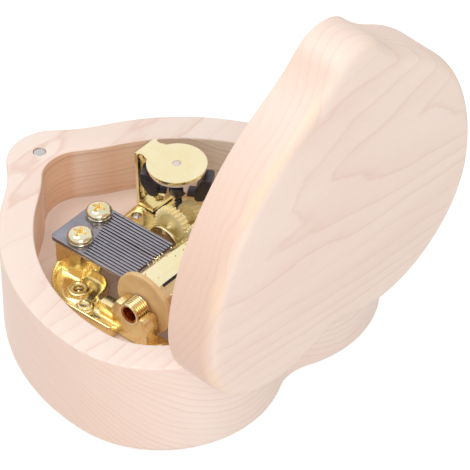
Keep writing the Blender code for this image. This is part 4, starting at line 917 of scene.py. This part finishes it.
def gear_points(teeth, module, centre, phase, low=1.15, high=0.9, tooth=0.46):
    """Rounded gear teeth: flanks that lean in and curve over to a blunt tip."""
    pitch = module * teeth / 2
    step = 2 * pi / teeth
    sides = ((-low, 0.70), (-low * 0.8, 0.60), (0.0, 0.50), (high * 0.6, 0.36), (high, 0.20))
    flank = [(pitch + module * rise, half * tooth * step) for rise, half in sides]
    points = []
    for index in range(teeth):
        middle = phase + index * step
        points += [(r, middle - half) for r, half in flank]
        points += [(r, middle + half) for r, half in flank[::-1]]
    return [(centre[0] + r * cos(a), centre[1] + r * sin(a)) for r, a in points]


def mesh_phase(driver, driver_teeth, driver_phase, follower, follower_teeth):
    """The follower's angle at which its teeth stand in the driver's gaps."""
    line = atan2(follower[1] - driver[1], follower[0] - driver[0])
    share = (line - driver_phase) / (2 * pi / driver_teeth)
    step = 2 * pi / follower_teeth
    return line + pi + share * step + step / 2


def make_train(mat):
    drum = (DRUM_Y, DRUM_Z)
    idler_axis, wheel_axis = (0.0, *IDLER), (0.0, *WHEEL)
    idler_phase = mesh_phase(drum, DRUM_TEETH, 0.0, IDLER, IDLER_TEETH)
    pinion_phase = mesh_phase(IDLER, IDLER_TEETH, idler_phase, WHEEL, PINION_TEETH)
    low, high = -5.8, -3.8
    gear = prism("drum_gear_fine", gear_points(DRUM_TEETH, GEAR_MODULE, drum, 0.0), low, high, mat, "X")
    for face in (high, low):
        cut_turned(gear, box_outline(2.4, 5.9, face - 0.5, face + 0.5), DRUM_AXIS, "X", 72, closed=True)
    cut_round(gear, ARBOR_BORE, low - 1, high + 1, DRUM_AXIS, "X")
    stand_for(ease(gear, 0.05, 2, 38.0, 30.0), "drum_gear")
    teeth = gear_points(IDLER_TEETH, GEAR_MODULE, IDLER, idler_phase)
    idler = prism("idler_gear_fine", teeth, low, high, mat, "X")
    cut_turned(idler, box_outline(1.1, 3.5, high - 0.8, high + 0.8), idler_axis, "X", 64, closed=True)
    join_turned(idler, [(0.42, -7.68), (0.5, -7.6), (0.5, -1.6), (0.42, -1.52)], idler_axis, "X", 24)
    stand_for(ease(idler, 0.05, 2, 38.0, 30.0), "idler_gear")
    # Worm wheel: teeth that lean as the worm does, dished face, sleeve, pinion and arbor
    width = 2.4
    twist = width / WHEEL_PITCH_R * WORM_MODULE / WORM_PITCH_R
    loops = []
    for step in range(9):
        share = step / 8 - 0.5
        turn = pi + pi / WHEEL_TEETH + share * twist
        crest = 0.56 if step in (0, 8) else 0.66
        teeth = gear_points(WHEEL_TEETH, WORM_MODULE, WHEEL, turn, 0.95, crest, 0.42)
        loops.append([(GOVERNOR[0] + share * width, y, z) for y, z in teeth])
    wheel = lofted("worm_wheel_fine", mat, loops)
    face = GOVERNOR[0] + width / 2
    dish = [(1.3, face - 0.35), (2.55, face - 0.35), (2.75, face + 0.5), (1.3, face + 0.5)]
    cut_turned(wheel, dish, wheel_axis, "X", 64, closed=True)
    join_turned(wheel, [(1.1, -5.92), (1.1, face - 0.3)], wheel_axis, "X", 32)
    join_prism(wheel, gear_points(PINION_TEETH, GEAR_MODULE, WHEEL, pinion_phase), -6.1, -3.5, "X")
    join_turned(wheel, [(0.5, -17.3), (0.5, -1.52)], wheel_axis, "X", 24)
    stand_for(smooth(wheel, 30.0), "worm_wheel")


def make_train_plates(mat):
    iy, iz = IDLER
    foot = 13.4
    start = [(-9.7, foot), (-9.7, 17.2)]
    end = [(iy + 3.04, 15.3), (iy + 3.04, foot)]
    near = arc((iy - 0.235, iz + 0.9 - 4.7), 4.7, radians(150), radians(5), 30)
    far = [(iy - 2.375, 18.72)] + arc(IDLER, 1.9, radians(175), radians(10), 20)
    plates = (("near", near, -2.4, -1.4, 0.62), ("far", far, -7.8, -6.8, 1.22))
    for name, crown, low, high, bore in plates:
        plate = prism("train_plate_%s_fine" % name, start + crown + end, low, high, mat, "X")
        cut_round(plate, 0.62, low - 1, high + 1, (0.0, *IDLER), "X", 24)
        cut_round(plate, bore, low - 1, high + 1, (0.0, *WHEEL), "X", 32)
        stand_for(ease(plate, 0.12, 3, 45.0), "train_plate_" + name)


# Governor


def make_governor(black, pale):
    gx, gy, _ = GOVERNOR
    # Two-start worm, as a wave that climbs with its lead
    low, hub_low = 13.6, 18.9
    lead = 2 * pi * WORM_MODULE
    steps, sides = 110, 32
    loops = []
    for step in range(steps + 1):
        z = low + (hub_low + 0.3 - low) * step / steps
        ring = []
        for side in range(sides):
            angle = 2 * pi * side / sides
            wave = cos(2 * (angle - 2 * pi * (z - WHEEL[1]) / lead - pi / 2))
            radius = 0.74 + 0.19 * max(-1.0, min(1.0, wave * 1.5))
            ring.append((gx + radius * cos(angle), gy + radius * sin(angle), z))
        loops.append(ring)
    spindle = lofted("governor_spindle_fine", black, loops)
    hub = [(1.1, hub_low), (1.25, 19.25), (1.75, 19.75), (2.12, 20.3), (2.2, 20.7), (2.2, 22.0)]
    hub += [(2.0, 22.2), (0.5, 22.2), (0.5, 28.0)]
    join_turned(spindle, hub, GOVERNOR, sides=64)
    join_turned(spindle, [(0.4, 13.4), (0.4, 13.9)], GOVERNOR, sides=24)
    stand_for(smooth(spindle, 40.0), "governor_spindle")
    # Wings: tapered blocks with big soft edges
    profile = [(4.4, 19.6), (6.6, 19.6), (8.7, 23.55), (8.7, 26.0), (8.15, 26.4), (6.65, 26.4), (4.4, 22.7)]
    outline = rounded([Vector(p) for p in profile], 1.2)
    arm = box_outline(2.5, 4.7, 20.3, 21.3)
    half = 2.3
    for name, turn in (("left", radians(-60)), ("right", radians(120))):
        out = Vector((cos(turn), sin(turn), 0.0))
        side = Vector((-out.y, out.x, 0.0))

        def section(points, at):
            return [Vector(GOVERNOR) + out * r + side * at + Vector((0, 0, z)) for r, z in points]

        sections = [section(outline, at) for at in (-half, half)]
        wing = lofted("governor_wing_%s_fine" % name, black, sections, sharp=60.0)
        boolean(wing, tool_of([section(arm, at) for at in (-half * 0.7, half * 0.7)]), "UNION")
        stand_for(ease(wing, 0.75, 5, 50.0, 50.0), "governor_wing_" + name)
    # Ring with its two pegs
    profile = [(0.62, 22.5), (1.3, 22.5), (1.3, 26.9), (6.45, 26.9), (6.6, 27.02), (6.6, 27.55)]
    profile += [(6.45, 27.7), (0.62, 27.7)]
    ring = turned("governor_ring_fine", profile, GOVERNOR, pale, sides=112, closed=True)
    for turn in (radians(62), radians(242)):
        spot = (gx + 5.7 * cos(turn), gy + 5.7 * sin(turn), 0.0)
        join_turned(ring, [(0.35, 24.7), (0.5, 24.9), (0.5, 27.3)], spot, sides=24)
    stand_for(smooth(ring), "governor_ring")


def make_bracket(mat, pale):
    gx, gy, _ = GOVERNOR
    half = 3.7
    back = -22.2
    top = 29.1
    cover = arc(GOVERNOR, 7.3, radians(-62), radians(242), 90)
    # Flared neck: hollow curves from the disc out to the fold's corners
    neck = [(-3.35, -7.1), (-2.95, -8.0), (-2.95, -8.7), (-3.25, -9.35)]
    outline = cover + [(gx + x, gy + y) for x, y in neck]
    outline += [(gx - half, back + 0.7), (gx - half + 0.5, back), (gx + half, back)]
    outline += [(gx - x, gy + y) for x, y in neck[::-1]]
    bracket = prism("bracket_fine", outline, top - 0.8, top, mat)
    bend = [(back, 13.4), (back, top - 1.0), (back + 0.08, top - 0.55), (back + 0.35, top - 0.2)]
    bend += [(back + 0.9, top - 0.02), (back + 0.9, 13.4)]
    join_prism(bracket, bend, gx - half, gx + half, "X")
    join_prism(bracket, box_outline(gx - half, gx + half, back, -16.9), 13.4, 14.3)
    cut_round(bracket, 0.92, 12.0, 16.0, RIVET, sides=32)
    cut_round(bracket, 1.02, 27.5, 29.9, GOVERNOR, sides=48)
    stand_for(ease(bracket, 0.11, 3, 45.0), "governor_bracket")
    jewel = [(0.94, 28.5), (0.94, 29.0), (0.86, 29.12), (0.6, 29.2), (0.25, 29.24)]
    stand_for(turned("governor_jewel_fine", jewel, GOVERNOR, pale, sides=48), "governor_jewel")


# Spring works, key and fasteners


def make_spring_works(gold, steel, bright):
    bore = BARREL_BORE
    r = 10.3
    profile = [(bore, PLATE_LOW), (r - 0.2, PLATE_LOW), (r, 11.7), (r, 15.3), (r - 0.15, 15.5)]
    profile += [(9.8, 15.5), (9.7, 15.4), (9.7, 12.1), (bore, 12.1)]
    housing = turned("spring_housing_fine", profile, BARREL, gold, sides=128, closed=True)
    stand_for(housing, "spring_housing")
    refined("mainspring", steel)
    # Great wheel with its crown of teeth
    base, crest = 16.595, 17.3
    disc = [(bore, base - 0.7), (9.65, base - 0.7), (9.8, base - 0.55), (9.8, base - 0.1), (9.7, base)]
    disc += [(8.0, base), (7.8, base - 0.2), (3.0, base - 0.2), (2.8, base), (bore, base)]
    wheel = turned("great_wheel_fine", disc, BARREL, gold, sides=120, closed=True)
    count = 40
    step = 2 * pi / count
    levels = ((base - 0.1, 0.24), (base + 0.35, 0.17), (crest - 0.12, 0.09), (crest, 0.03))
    teeth = []
    for index in range(count):
        middle = (index + 0.5) * step
        loops = []
        for z, share in levels:
            ring = []
            for radius, sign in ((9.5, -1), (9.5, 1), (7.9, 1), (7.9, -1)):
                a = middle + sign * share * step
                ring.append((BARREL[0] + radius * cos(a), BARREL[1] + radius * sin(a), z))
            loops.append(ring)
        teeth.append(loops)
    boolean(wheel, tool_of(*teeth), "UNION")
    stand_for(smooth(wheel, 30.0), "great_wheel")
    low, high = node_heights("winding_arbor")
    arbor = [(1.15, low), (1.3, low + 0.2), (1.3, high - 0.25), (1.1, high)]
    stand_for(turned("winding_arbor_fine", arbor, BARREL, bright, sides=48), "winding_arbor")
    refined("winding_key", bright, 0.25, 40.0)


def make_fasteners(gold, bright):
    for name, spot in MOUNT_SCREWS.items():
        low, high = node_heights("mounting_screw_" + name)
        profile = [(1.9, low), (2.3, low + 0.35), (2.4, low + 0.7), (2.4, low + 1.4), (1.1, low + 1.4)]
        profile += [(1.1, high - 0.3), (0.8, high)]
        screw = turned("mounting_screw_%s_fine" % name, profile, spot, bright, sides=56)
        # The cross goes in from below
        tool = cross_tool(spot, 0.0, 1.1, 0.26, 0.8)
        tool.data.transform(Matrix.Translation((0, 0, low * MM)) @ Matrix.Diagonal((1, 1, -1, 1)))
        tool.data.flip_normals()
        boolean(screw, tool)
        stand_for(ease(screw, 0.04, 2, 40.0, 34.0), "mounting_screw_" + name)
    stud = [(1.0, PLATE_LOW), (1.0, 13.2), (2.35, 13.2), (2.35, 13.4), (1.9, 13.5), (1.85, 13.9)]
    stud += [(1.6, 14.15), (1.25, 14.2), (1.1, 14.0), (0.5, 13.9)]
    stand_for(turned("stud_fine", stud, STUD, gold, sides=56), "bedplate_stud")
    rivet = [(0.8, PLATE_LOW), (0.8, 14.35), (1.45, 14.35), (1.5, 14.6), (1.35, 14.95)]
    rivet += [(0.9, 15.2), (0.35, 15.28)]
    stand_for(turned("rivet_fine", rivet, RIVET, gold, sides=48), "bracket_rivet")
    refined("drum_arbor", bright)
    for side in ("left", "right"):
        for half in ("base", "lid"):
            refined("hinge_%s_barrel_%s" % (half, side), gold, 0.08, 45.0)
        refined("hinge_pin_" + side, bright, 0.06, 45.0)
    for node in ("base_magnet", "lid_magnet"):
        refined(node, bright, 0.12, 45.0)


# Studio


def make_stage():
    mat, tree = new_material("studio_floor")
    cloud = tree.noise(tree.coords("Object"), 3.0, 2.0, 0.5)
    tree.shade("Base Color", tree.ramp(cloud, (0.0, 0.71), (1.0, 0.73)))
    tree.shade("Roughness", 0.9)
    tree.shade("Specular IOR Level", 0.0)
    tree.shade("Emission Color", (1.0, 1.0, 1.0))
    tree.shade("Emission Strength", tree.seen_directly(0.0, 0.55))
    # A floor that sweeps up into a backdrop, away from the camera
    away = Vector((-0.746, -0.666))
    side = Vector((-away.y, away.x))
    reach, bend = 1.2, 0.8
    profile = [(-2.0, 0.0), (reach, 0.0)]
    profile += [(reach + bend * s, bend - bend * c) for s, c in quarter_steps(12)[1:]]
    profile.append((reach + bend, 3.0))
    bm = bmesh.new()
    rows = []
    for out, height in profile:
        points = [away * out + side * across for across in (-3.0, 3.0)]
        rows.append([bm.verts.new((*point, height - 0.0001)) for point in points])
    for lower, upper in zip(rows, rows[1:]):
        bm.faces.new((lower[0], lower[1], upper[1], upper[0]))
    floor = add_mesh("studio_floor", bm, mat)
    floor.data.shade_smooth()


def area_light(name, location, size, power):
    """A square light that looks at the box."""
    data = bpy.data.lights.new(name, "AREA")
    data.shape = "SQUARE"
    data.size = size
    data.energy = power
    light = add_object(name, data)
    light.location = location
    direction = Vector((0.0, 0.0, 0.03)) - Vector(location)
    light.rotation_euler = direction.to_track_quat("-Z", "Y").to_euler()


def make_light():
    world = bpy.data.worlds.new("studio")
    tree = Tree(world)
    sky = tree.nodes["Background"].inputs
    tree.feed(sky["Color"], (1.0, 1.0, 1.0))
    tree.feed(sky["Strength"], tree.seen_directly(0.70, 1.0))
    area_light("key", (0.10, -0.25, 0.75), 0.32, 1.5)
    area_light("fill", (0.47, 0.56, 0.47), 0.40, 2.15)
    scene = bpy.context.scene
    scene.world = world
    scene.view_settings.view_transform = "Standard"
    scene.view_settings.look = "None"
    scene.view_settings.exposure = 0.0
    scene.view_settings.gamma = 1.0


def make_camera():
    """The photo's camera, as fitted to it: focal length in pixels of a square photo."""
    focal, photo_width, sensor = 4801.64, 470.0, 36.0
    azimuth = radians(132.34)
    roll = radians(-1.54)
    back = Vector((0.55788, 0.50832, 0.65603)).normalized()
    right = Vector((cos(azimuth), sin(azimuth), 0.0))
    up = back.cross(right)
    right_rolled = right * cos(roll) + up * sin(roll)
    up_rolled = -right * sin(roll) + up * cos(roll)
    data = bpy.data.cameras.new("camera")
    data.sensor_width = sensor
    data.lens = focal / photo_width * sensor
    data.clip_start = 0.05
    data.clip_end = 20.0
    camera = add_object("camera", data)
    turn = Matrix((right_rolled, up_rolled, back)).transposed().to_4x4()
    camera.matrix_world = Matrix.Translation((0.61952, 0.58448, 0.76308)) @ turn
    bpy.context.scene.camera = camera


def build():
    base_wood, pocket_wall_wood, lid_wood = make_wood()
    cast = metal("cast_gold", (247, 229, 176), (242, 214, 152), (0.20, 0.34), (0.6, 0.6, 0.6), relief=0.08)
    gold = metal("pale_gold", (244, 232, 192), (241, 226, 180), (0.10, 0.20), (0.5, 3.0, 3.0))
    # Painted shade for the bush's grooves and mouth
    copper = metal("copper_painted_shade", (206, 140, 74), (176, 104, 56), (0.2, 0.34), (1.0, 1.0, 1.0))
    # Painted reflection for the comb screws' cross recesses
    recess_reflection_gold = metal("gold_painted_recess_reflection", (246, 226, 176), (238, 212, 152), (0.2, 0.34), (1.0, 1.0, 1.0))
    steel = metal("comb_steel", (152, 148, 156), (138, 134, 144), (0.26, 0.36), (6.0, 0.4, 3.0))
    bright = metal("nickel", (205, 203, 200), (190, 188, 186), (0.12, 0.22), (3.0, 3.0, 0.6))
    screw = metal("screw_gold", (232, 224, 194), (214, 204, 172), (0.10, 0.18), (2.0, 2.0, 2.0))
    spring = metal("spring_steel", (120, 118, 120), (100, 98, 102), (0.2, 0.32), (3.0, 3.0, 0.5))
    nylon = plastic("cream_nylon", (255, 240, 184), (252, 230, 170), 0.32, 0.15)
    cap = plastic("tan_cap", (236, 202, 148), (228, 188, 130), 0.34, 0.1)
    black = plastic("black_plastic", (62, 56, 66), (46, 42, 50), 0.22)
    pale = plastic("pale_plastic", (232, 216, 208), (222, 204, 196), 0.3, 0.2)
    lilac = plastic("jewel_plastic", (236, 222, 224), (226, 210, 212), 0.15, 0.2)
    make_stage()
    make_light()
    make_camera()
    make_base(base_wood, pocket_wall_wood)
    make_lid(lid_wood)
    make_bedplate(cast)
    make_bush(gold, copper)
    make_comb(steel)
    make_comb_screws(screw, recess_reflection_gold)
    make_drum(gold, black)
    make_drum_cap(cap)
    make_train(nylon)
    make_train_plates(gold)
    make_governor(black, pale)
    make_bracket(gold, lilac)
    make_spring_works(gold, spring, bright)
    make_fasteners(cast, bright)


build()
